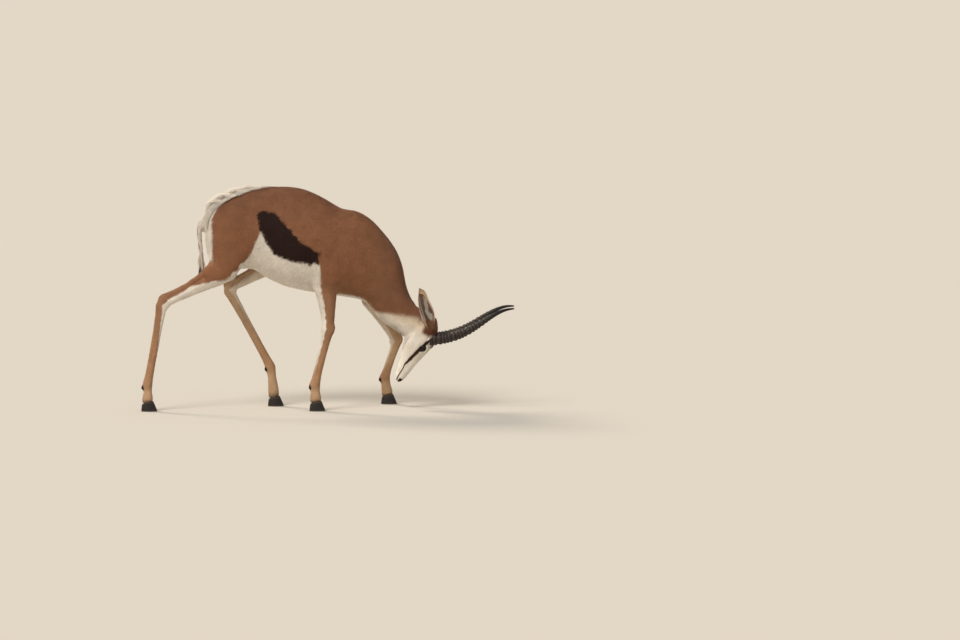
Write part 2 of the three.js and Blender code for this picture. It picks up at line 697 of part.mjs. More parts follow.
// One claw of a hoof, pointed in front, on a flat sole at z = 0.
function makeClaw(x, y, inward) {
  const rings = CLAW_LEVELS.map((level) => {
    const ring = [];
    for (let i = 0; i < CLAW_SIDES; i += 1) {
      const angle = (2 * Math.PI * i) / CLAW_SIDES;
      const ahead = Math.cos(angle);
      const aside = Math.sin(angle);
      const reach = CLAW_LENGTH * (ahead > 0 ? level.front : level.back);
      const taper = ahead > 0 ? 1 - CLAW_TAPER * ahead * ahead : 1;
      const wall = aside * inward > 0 ? CLAW_INNER : 1;
      const height = level.up * CLAW_HEIGHT * (1 - CLAW_HEEL_DROP * Math.max(-ahead, 0));
      ring.push(vec(x + reach * ahead, y + CLAW_WIDTH * level.half * aside * taper * wall, height));
    }
    return ring;
  });
  return skinRings(rings, centreOf(rings[0]), centreOf(rings[rings.length - 1]));
}

// A small dewclaw pair behind the fetlock.
function dewclaws(joints) {
  const [x, y, z] = joints[3];
  return [-1, 1].map((aside) => {
    const { back, below, tilt } = DEWCLAW_PLACE;
    const place = new THREE.Matrix4().makeTranslation(x - back, y + aside * DEWCLAW_PLACE.aside, z - below);
    place.multiply(new THREE.Matrix4().makeRotationY(radians(tilt)));
    return ellipsoid(DEWCLAW_SIZE, place, 7, 5);
  });
}

// The plane across a leg at a place along its joints.
function legPlane(joints, place) {
  const whole = vec(...joints[joints.length - 1]).sub(vec(...joints[0])).normalize();
  return [jointPoint(joints, place), legDirection(joints, place).add(whole).normalize()];
}

// One leg divided from the body down: root, upper leg, shin and foot.
function divideLeg(name, joints, sections, cuts) {
  const body = partAcross(makeLeg(joints, sections), ...legPlane(joints, cuts.body));
  const shin = partAcross(body.after, ...legPlane(joints, cuts.shin));
  const foot = partAcross(shin.after, ...legPlane(joints, cuts.foot));
  return { name, joints, root: body.before, upper: shin.before, shin: foot.before, foot: foot.after };
}

// The tail: a tapering tube through its points.
function makeTail() {
  const rows = TAIL_POINTS.map(([x, z, radius], i) => {
    const before = TAIL_POINTS[Math.max(i - 1, 0)];
    const after = TAIL_POINTS[Math.min(i + 1, TAIL_POINTS.length - 1)];
    const wayX = after[0] - before[0];
    const wayZ = after[1] - before[1];
    const size = Math.hypot(wayX, wayZ);
    return [x, 0, z, -wayZ / size, wayX / size, radius, radius, radius * 1.15];
  });
  return loft(rows, { sides: TAIL_SIDES, domes: [0, 4] });
}

const group = new THREE.Group();

function addNode(name, solid, colour, roughness = 0.85) {
  const mesh = largest(solid).getMesh();
  const geometry = new THREE.BufferGeometry();
  geometry.setAttribute('position', new THREE.BufferAttribute(Float32Array.from(mesh.vertProperties), 3));
  geometry.setIndex(new THREE.BufferAttribute(Uint32Array.from(mesh.triVerts), 1));
  geometry.computeVertexNormals();
  const material = new THREE.MeshStandardMaterial({ color: colour, roughness, metalness: 0 });
  const node = new THREE.Mesh(geometry, material);
  node.name = name;
  group.add(node);
}

// The body as one, with the roots of the legs, and then parted.
const legs = [
  divideLeg('hind_right', HIND_RIGHT_JOINTS, HIND_SECTIONS, HIND_CUTS),
  divideLeg('hind_left', HIND_LEFT_JOINTS, HIND_SECTIONS, HIND_CUTS),
  divideLeg('fore_right', FORE_RIGHT_JOINTS, FORE_SECTIONS, FORE_CUTS),
  divideLeg('fore_left', FORE_LEFT_JOINTS, FORE_SECTIONS, FORE_CUTS),
];
const neckParts = partAt(makeTrunk().add(makeHead()), HEAD_PLANE);
const torso = legs.reduce((solid, leg) => solid.add(leg.root), neckParts.behind);
const rumpParts = partAt(torso, RUMP_PLANE);
const barrelParts = partAt(rumpParts.ahead, CHEST_PLANE);
const chestParts = partAt(barrelParts.ahead, NECK_PLANE);
const clearTorso = swollen(torso);
const clearHead = swollen(neckParts.ahead);

const eyes = { right: makeEye(-1), left: makeEye(1) };
addNode('head', clearOf(neckParts.ahead, eyes.right, eyes.left), COLOURS.face);
addNode('neck', chestParts.ahead, COLOURS.coat);
addNode('chest', chestParts.behind, COLOURS.coat);
addNode('barrel', barrelParts.behind, COLOURS.coat);
const tail = tuftLocks().reduce((solid, lock) => solid.add(lock), makeTail()).subtract(clearTorso);
const crest = crestLocks().reduce((solid, lock) => solid.add(lock), rumpParts.behind);
addNode('rump', clearOf(crest, tail).subtract(swollen(barrelParts.behind)), COLOURS.coat);
addNode('tail', tail, COLOURS.white);
for (const [name, side] of [['right', -1], ['left', 1]]) {
  addNode(`eye_${name}`, eyes[name], COLOURS.eye, 0.1);
  addNode(`ear_${name}`, makeEar(side).subtract(clearHead).subtract(clearTorso), COLOURS.coat);
  addNode(`horn_${name}`, makeHorn(side).subtract(clearHead), COLOURS.horn, 0.5);
}

for (const leg of legs) {
  const [x, y] = leg.joints[leg.joints.length - 1];
  const claws = [-1, 1].map((aside) => {
    const middle = y + (aside * (CLAW_WIDTH + CLAW_SPLIT)) / 2;
    return makeClaw(x + CLAW_FORWARD, middle, -aside);
  });
  const foot = dewclaws(leg.joints).reduce((solid, dewclaw) => solid.add(dewclaw), leg.foot);
  addNode(`leg_${leg.name}_upper`, leg.upper.subtract(clearTorso), COLOURS.coat);
  addNode(`leg_${leg.name}_cannon`, leg.shin, COLOURS.pale);
  addNode(`leg_${leg.name}_foot`, clearOf(foot, ...claws), COLOURS.pale);
  addNode(`claw_${leg.name}_${y > 0 ? 'inner' : 'outer'}`, claws[0], COLOURS.claw, 0.5);
  addNode(`claw_${leg.name}_${y > 0 ? 'outer' : 'inner'}`, claws[1], COLOURS.claw, 0.5);
}

// The origin is the middle of the model's box, on the ground.
const box = new THREE.Box3().setFromObject(group);
group.position.set(-(box.min.x + box.max.x) / 2, -(box.min.y + box.max.y) / 2, -box.min.z);

export default group;
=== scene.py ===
# %% [markdown]
# # A springbok ram, life size, as a museum shows it
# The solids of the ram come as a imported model: metres, feet on z = 0, facing +X, left side +Y.
# This lesson dresses them in one fused skin, wet eyes, ringed horns, split hooves and a coat of
# small tufts. Each step says first what the real thing is like and why it is made this way.

# %% Load the solids
import json
import math

import bmesh
import bpy
import numpy as np
from mathutils import Matrix, Vector
from mathutils.bvhtree import BVHTree

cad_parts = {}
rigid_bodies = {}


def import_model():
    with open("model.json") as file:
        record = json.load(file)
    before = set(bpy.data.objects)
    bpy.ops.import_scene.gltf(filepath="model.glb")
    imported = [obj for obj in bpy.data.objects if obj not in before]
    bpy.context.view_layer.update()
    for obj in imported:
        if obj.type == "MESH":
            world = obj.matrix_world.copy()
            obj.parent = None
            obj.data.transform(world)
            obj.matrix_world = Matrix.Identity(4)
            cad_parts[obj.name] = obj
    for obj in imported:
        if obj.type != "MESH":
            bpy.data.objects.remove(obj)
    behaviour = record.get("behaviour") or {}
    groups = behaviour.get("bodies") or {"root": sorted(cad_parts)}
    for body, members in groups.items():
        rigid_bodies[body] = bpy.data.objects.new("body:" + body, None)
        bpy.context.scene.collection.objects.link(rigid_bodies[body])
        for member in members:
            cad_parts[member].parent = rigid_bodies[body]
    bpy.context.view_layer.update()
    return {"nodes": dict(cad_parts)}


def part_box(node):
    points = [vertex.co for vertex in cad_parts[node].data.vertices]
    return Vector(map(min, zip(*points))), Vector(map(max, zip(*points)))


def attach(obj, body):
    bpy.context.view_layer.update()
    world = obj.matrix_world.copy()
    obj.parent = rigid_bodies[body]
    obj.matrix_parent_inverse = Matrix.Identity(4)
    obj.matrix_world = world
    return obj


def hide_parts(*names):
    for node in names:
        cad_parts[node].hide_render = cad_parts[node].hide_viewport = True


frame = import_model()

# %% [markdown]
# ## Camera
# The animal was seen from its right side, a little from above, from far away. A long lens keeps
# the legs parallel as in such a picture, and the empty space to the right stays as it was framed.

# %% Camera
LENS = 400.0  # mm
SENSOR = 36.0  # mm
CAMERA_DISTANCE = 38.4
CAMERA_SIGHT = 400.0  # metres, how far it sees
CAMERA_HEIGHT_ANGLE = 5.0  # degrees above the ground
AIM = (0.547, -0.036, 0.320)


def placed(name, data):
    """A new object in the scene, made of the data."""
    thing = bpy.data.objects.new(name, data)
    bpy.context.scene.collection.objects.link(thing)
    return thing


tilt = math.radians(CAMERA_HEIGHT_ANGLE)
back, up = CAMERA_DISTANCE * math.cos(tilt), CAMERA_DISTANCE * math.sin(tilt)
camera_data = bpy.data.cameras.new("long_lens")
camera_data.lens = LENS
camera_data.sensor_width = SENSOR
camera_data.clip_end = CAMERA_SIGHT
camera = placed("camera", camera_data)
camera.location = (AIM[0], AIM[1] - back, AIM[2] + up)
camera.rotation_euler = (math.pi / 2 - tilt, 0, 0)
bpy.context.scene.camera = camera
print("camera at", [round(v, 2) for v in camera.location])

# %% [markdown]
# ## The drawing's own measures
# The solids were drawn in millimetres from a side view. Using the same measures here puts eyes,
# lids and markings just where the solids have them. The eye's solid says how the drawing was
# shifted when its middle became the origin, so no number has to be copied for that.

# %% From the drawing's millimetres to the model's metres
POLL = (468.0, 300.0)  # top of the head between the ears, x and z
NOSE_WAY = (-0.456, -0.89)  # from the poll to the nose
NOSE_AXIS = np.array([NOSE_WAY[0], 0, NOSE_WAY[1]])
BROW_AXIS = np.array([-NOSE_WAY[1], 0, NOSE_WAY[0]])
EYE = (80.0, 13.0, 35.5)  # along the nose, towards the brow, to the side
EYE_RADIUS = 15.0


def head_mm(s, d, y):
    """A point of the head: s along the nose, d towards the brow, y to the left."""
    nx, nz = NOSE_WAY
    return np.array([POLL[0] + s * nx - d * nz, y, POLL[1] + s * nz + d * nx])


right_eye_box = np.array([list(corner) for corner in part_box("eye_right")])
SHIFT = right_eye_box.mean(0) * 1000 - head_mm(EYE[0], EYE[1], -EYE[2])


def metres(mm):
    return (np.asarray(mm, float) + SHIFT) / 1000


def drawn(points):
    """The drawing's millimetres of points in metres."""
    return np.asarray(points, float) * 1000 - SHIFT


def head_measures(mm):
    """s, d and y of points given in the drawing's millimetres."""
    nx, nz = NOSE_WAY
    x, y, z = (mm[:, 0] - POLL[0]), mm[:, 1], (mm[:, 2] - POLL[1])
    return x * nx + z * nz, -x * nz + z * nx, y


print("shift in mm:", np.round(SHIFT, 2))

# %% Small helpers
def smoothstep(low, high, value):
    t = np.clip((value - low) / (high - low), 0, 1)
    return t * t * (3 - 2 * t)


def unit(vectors):
    return vectors / np.maximum(np.linalg.norm(vectors, axis=-1, keepdims=True), 1e-12)


def blend(low, high, share):
    """From low to high by a share for each point."""
    return low + (high - low) * np.asarray(share)[:, None]


def hump(value, middle, width):
    """A smooth hump, 1 at its middle."""
    return np.exp(-((value - middle) / width) ** 2)


def all_over(colour, points):
    """The same colour for each of the points."""
    return np.repeat(colour[None], len(points), 0)


def only(keep, *columns):
    """The kept entries of several arrays."""
    return [column[keep] for column in columns]


def ripple(points, size, seed):
    """A smooth, seeded, uneven wave over the points, about -1 to 1, with humps of about that size."""
    random = np.random.default_rng(seed)
    ways = unit(random.normal(size=(7, 3))) * random.uniform(0.7, 1.5, (7, 1)) * (math.pi / size)
    phases = random.uniform(0, 2 * math.pi, 7)
    return np.sin(points @ ways.T + phases).sum(1) / 2.6


# %% [markdown]
# ## Guide lines
# Hair lies along the body: from the nose to the tail and down every limb. A few guide lines in
# that direction, one for each part, tell every place of the skin how its hair lies and how thick
# the body is there. Reading the lie off such lines is simpler than combing each area by hand.

# %% Guide lines
LEG_JOINTS = {
    "hind_right": [(-262, -60, 672), (-252, -72, 513), (-492, -94, 386), (-545, -98, 94), (-545, -98, 30)],
    "hind_left": [(-236, 56, 672), (-52, 79, 548), (-258, 95, 424), (-106, 101, 142), (-94, 102, 30)],
    "fore_right": [(138, -83, 612), (94, -79, 462), (104, -82, 297), (56, -86, 94), (59, -87, 30)],
    "fore_left": [(252, 64, 560), (259, 76, 402), (348, 98, 240), (305, 170, 98), (314, 184, 30)],
}
# Place along the joints, reach in front of the bone, reach behind it and half width.
HIND_SECTIONS = [
    (0.0, 60, 58, 28), (0.35, 82, 76, 41), (0.7, 84, 78, 43), (1.0, 46, 56, 38),
    (1.4, 34, 37, 24), (1.8, 21, 28, 14), (2.0, 21, 30, 16), (2.35, 16, 17, 12),
    (2.9, 15, 17, 14), (3.2, 17, 19, 15), (4.0, 19, 22, 16),
]
FORE_SECTIONS = [
    (0.0, 60, 66, 22), (0.35, 70, 72, 33), (0.7, 62, 60, 36), (1.0, 47, 50, 30),
    (1.35, 39, 37, 22), (1.8, 26, 24, 17), (2.0, 25, 24, 18), (2.45, 16, 17, 12),
    (2.9, 17, 19, 15), (3.2, 18, 20, 16), (4.0, 20, 22, 16),
]
NECK_LINE = [(440, 0, 308), (385, 0, 370), (345, 0, 440), (300, 0, 510), (240, 0, 570)]
BACK_LINE = [
    (240, 0, 570), (150, 0, 600), (50, 0, 635), (-60, 0, 655), (-160, 0, 655), (-250, 0, 640), (-345, 0, 590),
]
HEAD_LINE = [head_mm(s, -12, 0) for s in (232, 180, 120, 60, 0, -30)]
TAIL_LINE = [(-318, 0, 694), (-352, 0, 668), (-360, 0, 640), (-358, 0, 600), (-354, 0, 550), (-354, 0, 440)]

# %% Lines of the ears
EARS = ("ear_right", "ear_left")
EAR_ROOT = (2.0, 6.0, 36.0)
EAR_LENGTH = 160.0
EAR_PITCH = math.radians(103)
EAR_SPLAY = math.radians(34)


def side_of(name):
    """-1 for a part of the right side, 1 for one of the left."""
    return -1 if name.endswith("right") else 1


def ear_way(side):
    level = math.cos(EAR_SPLAY)
    return np.array([math.cos(EAR_PITCH) * level, math.sin(EAR_SPLAY) * side, math.sin(EAR_PITCH) * level])


def ear_line(side):
    root = head_mm(EAR_ROOT[0], EAR_ROOT[1], EAR_ROOT[2] * side)
    return [root + ear_way(side) * EAR_LENGTH * t for t in (0.0, 0.35, 0.7, 1.0)]


GUIDES = {"head": HEAD_LINE, "neck": NECK_LINE, "trunk": BACK_LINE, "tail": TAIL_LINE}
GUIDES.update({"leg_" + name: joints for name, joints in LEG_JOINTS.items()})
GUIDES.update({name: ear_line(side_of(name)) for name in EARS})
PARTS = list(GUIDES)


def is_part(parts, *names):
    """Which of the points, given by the index of their part, belong to one of the named parts."""
    return np.isin(parts, [PARTS.index(name) for name in names])


# %% Places on the guide lines
def on_line(points, line):
    """For each point: place along the line in joints, distance to it, and the line's way there."""
    line = np.asarray(line, float)
    best = np.full(len(points), np.inf)
    place = np.zeros(len(points))
    way = np.zeros((len(points), 3))
    for i, (start, end) in enumerate(zip(line[:-1], line[1:])):
        run = end - start
        t = np.clip((points - start) @ run / (run @ run), 0, 1)
        reach = np.linalg.norm(points - start - t[:, None] * run, axis=1)
        nearer = reach < best
        best[nearer] = reach[nearer]
        place[nearer] = i + t[nearer]
        way[nearer] = run / np.linalg.norm(run)
    return place, best, way


def at_place(line, place):
    """The point at a place along a line, which is given in joints."""
    line = np.array(line, float)
    low = np.minimum(np.asarray(place).astype(int), len(line) - 2)
    return line[low] + (line[low + 1] - line[low]) * np.asarray(place - low)[..., None]


def part_of_node(name):
    if name.startswith("leg_"):
        return "_".join(name.split("_")[:3])
    return {"rump": "trunk", "barrel": "trunk", "chest": "trunk"}.get(name, name)


print("guides:", ", ".join(PARTS))

# %% [markdown]
# ## One skin over all the flesh
# A real hide has no seams, but the solids are cut into named parts. Their copies are puffed up by
# a hair so that they overlap, joined, and made new as one surface with voxels. The head needs a
# finer grid than the trunk for its lids and lips, so it is made by itself and then joined on. The
# eyes are fused in with it, so that the skin closes over them until the lids are opened.

# %% Swollen copies of the flesh
PUFF = 0.0006  # metres

separate = ("eye", "horn", "claw")
flesh = [name for name in frame["nodes"] if not name.startswith(separate)]


def puffed_copy(names, puff):
    """One mesh with copies of the named solids, a little swollen."""
    joined = bmesh.new()
    for name in names:
        part = bmesh.new()
        part.from_mesh(frame["nodes"][name].data)
        bmesh.ops.remove_doubles(part, verts=part.verts, dist=0.00001)
        part.normal_update()
        moves = [vert.normal * puff for vert in part.verts]
        for vert, move in zip(part.verts, moves):
            vert.co += move
        copy = bpy.data.meshes.new("copy")
        part.to_mesh(copy)
        part.free()
        joined.from_mesh(copy)
        bpy.data.meshes.remove(copy)
    mesh = bpy.data.meshes.new("puffed")
    joined.to_mesh(mesh)
    joined.free()
    return mesh


# %% Modifiers, and the bases of the ears
EAR_BASE_RISE = -6.0  # mm along the ear
EAR_BASE_RADII = (16.5, 16.5, 18.0)


def with_modifiers(mesh, *settings):
    """The mesh after modifiers, each given as (type, {property: value})."""
    carrier = placed("carrier", mesh)
    for kind, values in settings:
        modifier = carrier.modifiers.new(kind.lower(), kind)
        for key, value in values.items():
            setattr(modifier, key, value)
    bpy.context.view_layer.update()
    made = bpy.data.meshes.new_from_object(carrier.evaluated_get(bpy.context.evaluated_depsgraph_get()))
    bpy.data.objects.remove(carrier)
    return made


def with_ear_bases(mesh):
    """Adds the round muscle that each ear stands on, so that its edges run into the head."""
    joined = bmesh.new()
    joined.from_mesh(mesh)
    for side in (-1, 1):
        way = ear_way(side)
        move = Matrix.Translation(metres(ear_line(side)[0] + way * EAR_BASE_RISE))
        turn = Vector(way).to_track_quat("Z", "Y").to_matrix().to_4x4()
        size = Matrix.Diagonal([value / 1000 for value in EAR_BASE_RADII] + [1])
        bmesh.ops.create_icosphere(joined, subdivisions=4, radius=1, matrix=move @ turn @ size)
    joined.to_mesh(mesh)
    joined.free()
    return mesh


def voxel_skin(mesh, voxel):
    return with_modifiers(mesh, ("REMESH", {"mode": "VOXEL", "voxel_size": voxel}))


# %% A mesh as arrays of numbers
def read_points(mesh):
    flat = np.empty(len(mesh.vertices) * 3, np.float32)
    mesh.vertices.foreach_get("co", flat)
    return flat.reshape(-1, 3).astype(float)


def write_points(mesh, points):
    mesh.vertices.foreach_set("co", points.astype(np.float32).ravel())
    mesh.update()


def read_edges(mesh):
    flat = np.empty(len(mesh.edges) * 2, np.int32)
    mesh.edges.foreach_get("vertices", flat)
    return flat.reshape(-1, 2)


def read_normals(mesh):
    flat = np.empty(len(mesh.vertices) * 3, np.float32)
    mesh.vertex_normals.foreach_get("vector", flat)
    return flat.reshape(-1, 3).astype(float)


# %% Fuse the flesh
BODY_VOXEL = 0.0034  # metres
HEAD_VOXEL = 0.0015

head_flesh = ["head", *EARS]
body_flesh = [name for name in flesh if name not in head_flesh]
head_copies = puffed_copy(head_flesh + ["neck", "eye_right", "eye_left"], PUFF)
body_mesh = voxel_skin(puffed_copy(body_flesh, PUFF), BODY_VOXEL)
head_mesh = voxel_skin(with_ear_bases(head_copies), HEAD_VOXEL)
print("body:", len(body_mesh.vertices), "head:", len(head_mesh.vertices), "points")

# %% [markdown]
# ## Smooth the facets away
# The solids are faceted. Letting every point move towards its neighbours, many small times, wears
# the facets down as sanding does. Thin legs would shrink away, so the strength follows how far a
# place is from its guide line: full on the trunk, gentle on shins, ears and the face.

# %% Sanding
def near_mean(values, edges):
    """For each point, the mean of each column over the points that an edge joins it to."""
    first, second = edges.T
    size = len(values)
    count = np.maximum(np.bincount(edges.ravel(), minlength=size), 1)
    total = np.stack([
        np.bincount(first, column[second], size) + np.bincount(second, column[first], size)
        for column in values.T
    ], 1)
    return total / count[:, None]


def sand(points, edges, strength, rounds):
    for _ in range(rounds):
        points += (near_mean(points, edges) - points) * strength[:, None]
    return points


def nearest_parts(points):
    """For each point the index of the part whose solid lies nearest, read off the solids themselves."""
    corners, faces, owner = [], [], []
    for name in flesh:
        mesh = frame["nodes"][name].data
        start = len(corners)
        corners.extend(tuple(v.co) for v in mesh.vertices)
        for polygon in mesh.polygons:
            faces.append([start + v for v in polygon.vertices])
            owner.append(PARTS.index(part_of_node(name)))
    tree = BVHTree.FromPolygons(corners, faces)
    return np.array([owner[tree.find_nearest(p)[2]] for p in points.tolist()])


def bone_distance(mm, parts):
    distance = np.zeros(len(mm))
    for i, name in enumerate(PARTS):
        chosen = parts == i
        if chosen.any():
            distance[chosen] = on_line(mm[chosen], GUIDES[name])[1]
    return distance


# %% Sand body and head
TRUNK_ROUNDS = 70
HEAD_ROUNDS = 16
EAR_ROOT_ROUNDS = 30
THIN_PART = 8.0  # mm from the guide line, from where the strength grows
STRENGTH_RISE = 110.0  # mm over which it would grow from 0 to 1
STRENGTH_RANGE = (0.05, 0.5)  # on thin legs and on the trunk
CREST_STRENGTH = 0.6
CREST_START = (-160.0, 690.0)  # x and z from which the rump's raised locks are sanded off
EAR_FOOT = (0.32, 0.12)  # shares of an ear's length between which its extra sanding fades in

body_points = read_points(body_mesh)
body_parts = nearest_parts(body_points)
body_mm = drawn(body_points)
thickness = bone_distance(body_mm, body_parts)
body_strength = np.clip((thickness - THIN_PART) / STRENGTH_RISE, *STRENGTH_RANGE)
body_strength[(body_mm[:, 0] < CREST_START[0]) & (body_mm[:, 2] > CREST_START[1])] = CREST_STRENGTH
sand(body_points, read_edges(body_mesh), body_strength, TRUNK_ROUNDS)
write_points(body_mesh, body_points)

head_points = read_points(head_mesh)
head_parts = nearest_parts(head_points)
is_ear = is_part(head_parts, *EARS)
sand(head_points, read_edges(head_mesh), np.where(is_ear, 0.25, 0.5), HEAD_ROUNDS)
mm = drawn(head_points)
ear_share = np.max([
    (mm - ear_line(side)[0]) @ ear_way(side) / EAR_LENGTH * (mm[:, 1] * side > 0) for side in (-1, 1)
], 0)
sand(head_points, read_edges(head_mesh), 0.5 * smoothstep(*EAR_FOOT, ear_share) * is_ear, EAR_ROOT_ROUNDS)
write_points(head_mesh, head_points)
print("trunk sanded", TRUNK_ROUNDS, "rounds, head", HEAD_ROUNDS)

# %% [markdown]
# ## Join head and body
# The fine mesh has the head and the neck, the coarser one the neck and all the rest. Each is drawn
# in a little beyond a plane across the neck, so that their surfaces cross there in one clean ring,
# and a boolean union makes one closed surface of the two.

# %% Head onto body
JOIN_PLACE = (400.0, 0.0, 335.0)  # where the plane crosses the neck
JOIN_WAY = unit(np.array([0.79, 0.0, -0.61]))  # towards the head
JOIN_REACH = 0.010  # metres to either side of the plane
DRAWN_IN = 0.003


def ahead_of_join(points):
    return (points - metres(JOIN_PLACE)) @ JOIN_WAY


def draw_in(mesh, share):
    """Moves points inwards by a share of the full amount, given for each point."""
    moved = read_points(mesh) - read_normals(mesh) * (share * DRAWN_IN)[:, None]
    write_points(mesh, moved)


# %% The join itself
JOIN_ROUNDS = 40

neck_of_body = is_part(body_parts, "neck", "head")
draw_in(body_mesh, smoothstep(-JOIN_REACH, JOIN_REACH, ahead_of_join(body_points)) * neck_of_body)
draw_in(head_mesh, smoothstep(JOIN_REACH, -JOIN_REACH, ahead_of_join(head_points)) * ~is_ear)
cutter = bmesh.new()
cutter.from_mesh(head_mesh)
back_of_neck = metres(JOIN_PLACE) - JOIN_WAY * JOIN_REACH * 2
to_cut = [vert for vert in cutter.verts if not is_ear[vert.index]]
to_cut += [
    part for part in cutter.edges[:] + cutter.faces[:] if not any(is_ear[vert.index] for vert in part.verts)
]
cut = bmesh.ops.bisect_plane(cutter, geom=to_cut, plane_co=back_of_neck, plane_no=JOIN_WAY, clear_inner=True)
rim = [edge for edge in cut["geom_cut"] if isinstance(edge, bmesh.types.BMEdge)]
bmesh.ops.triangle_fill(cutter, edges=rim, use_beauty=True)
bmesh.ops.recalc_face_normals(cutter, faces=cutter.faces)
cutter.to_mesh(head_mesh)
cutter.free()
head_holder = placed("head_holder", head_mesh)
union = {"object": head_holder, "operation": "UNION", "solver": "MANIFOLD"}
skin_mesh = with_modifiers(body_mesh, ("BOOLEAN", union))
bpy.data.objects.remove(head_holder)
points = read_points(skin_mesh)
at_join = is_part(nearest_parts(points), "neck", "head") & (np.abs(ahead_of_join(points)) < JOIN_REACH * 1.6)
sand(points, read_edges(skin_mesh), at_join * 0.5, JOIN_ROUNDS)
write_points(skin_mesh, points)
print("skin:", len(skin_mesh.vertices), "points after the join")

# %% [markdown]
# ## Depth of the coat
# The solids reach to the tips of the hair, so the skin has to lie deeper by the coat's depth:
# a few millimetres on the trunk, much less on the shins and next to nothing on the face.

# %% Sink the skin by the coat's depth
COAT_DEPTH = {"trunk": 3.6, "neck": 3.6, "head": 1.0, "tail": 2.0, "ear": 0.5}  # mm
LEG_COAT_DEPTH = (3.0, 1.1)  # mm, at the top of a leg, and from the hock or the front knee down
EVEN_ROUNDS = 24


def evened(values, edges, rounds):
    """Values on the skin, averaged with their neighbours many times so that they change slowly."""
    for _ in range(rounds):
        values = (values + near_mean(values[:, None], edges)[:, 0]) / 2
    return values


skin_parts = nearest_parts(points)
skin_mm = drawn(points)
depth = np.zeros(len(points))
for i, name in enumerate(PARTS):
    chosen = skin_parts == i
    if name.startswith("leg"):
        place = on_line(skin_mm[chosen], GUIDES[name])[0]
        top, low = LEG_COAT_DEPTH
        depth[chosen] = top + (low - top) * smoothstep(0.9, 2.0, place)
    else:
        depth[chosen] = COAT_DEPTH["ear" if name in EARS else name]
depth = evened(depth, read_edges(skin_mesh), EVEN_ROUNDS)
points -= read_normals(skin_mesh) * depth[:, None] / 1000
write_points(skin_mesh, points)
print("coat depth from", round(depth.min(), 2), "to", round(depth.max(), 2), "mm")

# %% [markdown]
# ## Muscles, bones and tendons
# Under short hair the form of a lean antelope shows: the blade of the shoulder, the hip bone, the
# groove before the Achilles tendon, tendons behind the shins, ridges of the cheek and nose. Each
# is one soft stroke along a few points that raises or sinks the skin, as a thumb does in clay.

# %% Strokes in the skin
# Each stroke: points in the drawing's millimetres, reach in mm, height in mm (less than 0 sinks).
SIDE_STROKES = [
    ([(212, 46, 700), (196, 86, 600), (165, 104, 500)], 15, 1.8),  # ridge of the shoulder blade
    ([(150, 108, 640), (120, 112, 560), (112, 108, 490)], 18, -1.8),  # hollow behind it
    ([(60, 112, 600), (52, 106, 520), (64, 96, 452)], 20, -2.4),  # groove behind the upper arm
    ([(120, 104, 470), (90, 104, 500)], 24, 2.6),  # muscle above the elbow
    ([(-118, 62, 772), (-132, 80, 748)], 20, 3.6),  # hip bone
    ([(-160, 97, 720), (-205, 99, 650), (-225, 99, 580)], 24, -2.2),  # hollow behind the hip
    ([(-300, 78, 660), (-300, 84, 600)], 16, 2.0),  # seat bone
    ([(-95, 102, 690), (-70, 108, 620), (-60, 104, 560)], 34, -2.2),  # hollow of the flank
    ([(250, 88, 560), (300, 82, 480), (345, 66, 400)], 16, -1.8),  # groove along the neck
    ([(300, 60, 590), (350, 52, 500), (390, 44, 420)], 20, 1.8),  # upper muscle of the neck
]
RIB_STROKES = [
    ([(x, 100, 700), (x - 12, 112, 640), (x - 26, 112, 560), (x - 30, 96, 490)], 7, 0.7)
    for x in range(-50, 60, 20)
]
HEAD_STROKES = [
    ([(60, -8, 50), (92, -10, 47), (124, -14, 38)], 7, 1.5),  # cheek bone under the eye
    ([(66, 31, 34), (86, 30, 36), (102, 24, 36)], 5, 2.0),  # brow over the eye
    ([(34, -24, 50), (58, -32, 49), (80, -34, 46)], 16, 2.4),  # jaw muscle
    ([(14, -50, 30), (50, -62, 24), (96, -54, 20), (150, -40, 14)], 6, 1.6),  # edge of the jaw
    ([(104, 26, 16), (150, 18, 13), (196, 8, 12)], 5, 1.2),  # side of the nose bone
    ([(118, 6, 36), (150, -2, 28), (176, -6, 25)], 9, -1.6),  # hollow before the eye
    ([(96, -30, 40), (130, -30, 32)], 9, -1.6),  # hollow between cheek and jaw
    ([(212, -6, 19), (222, -8, 12)], 6, 1.6),  # wing of the nostril
]
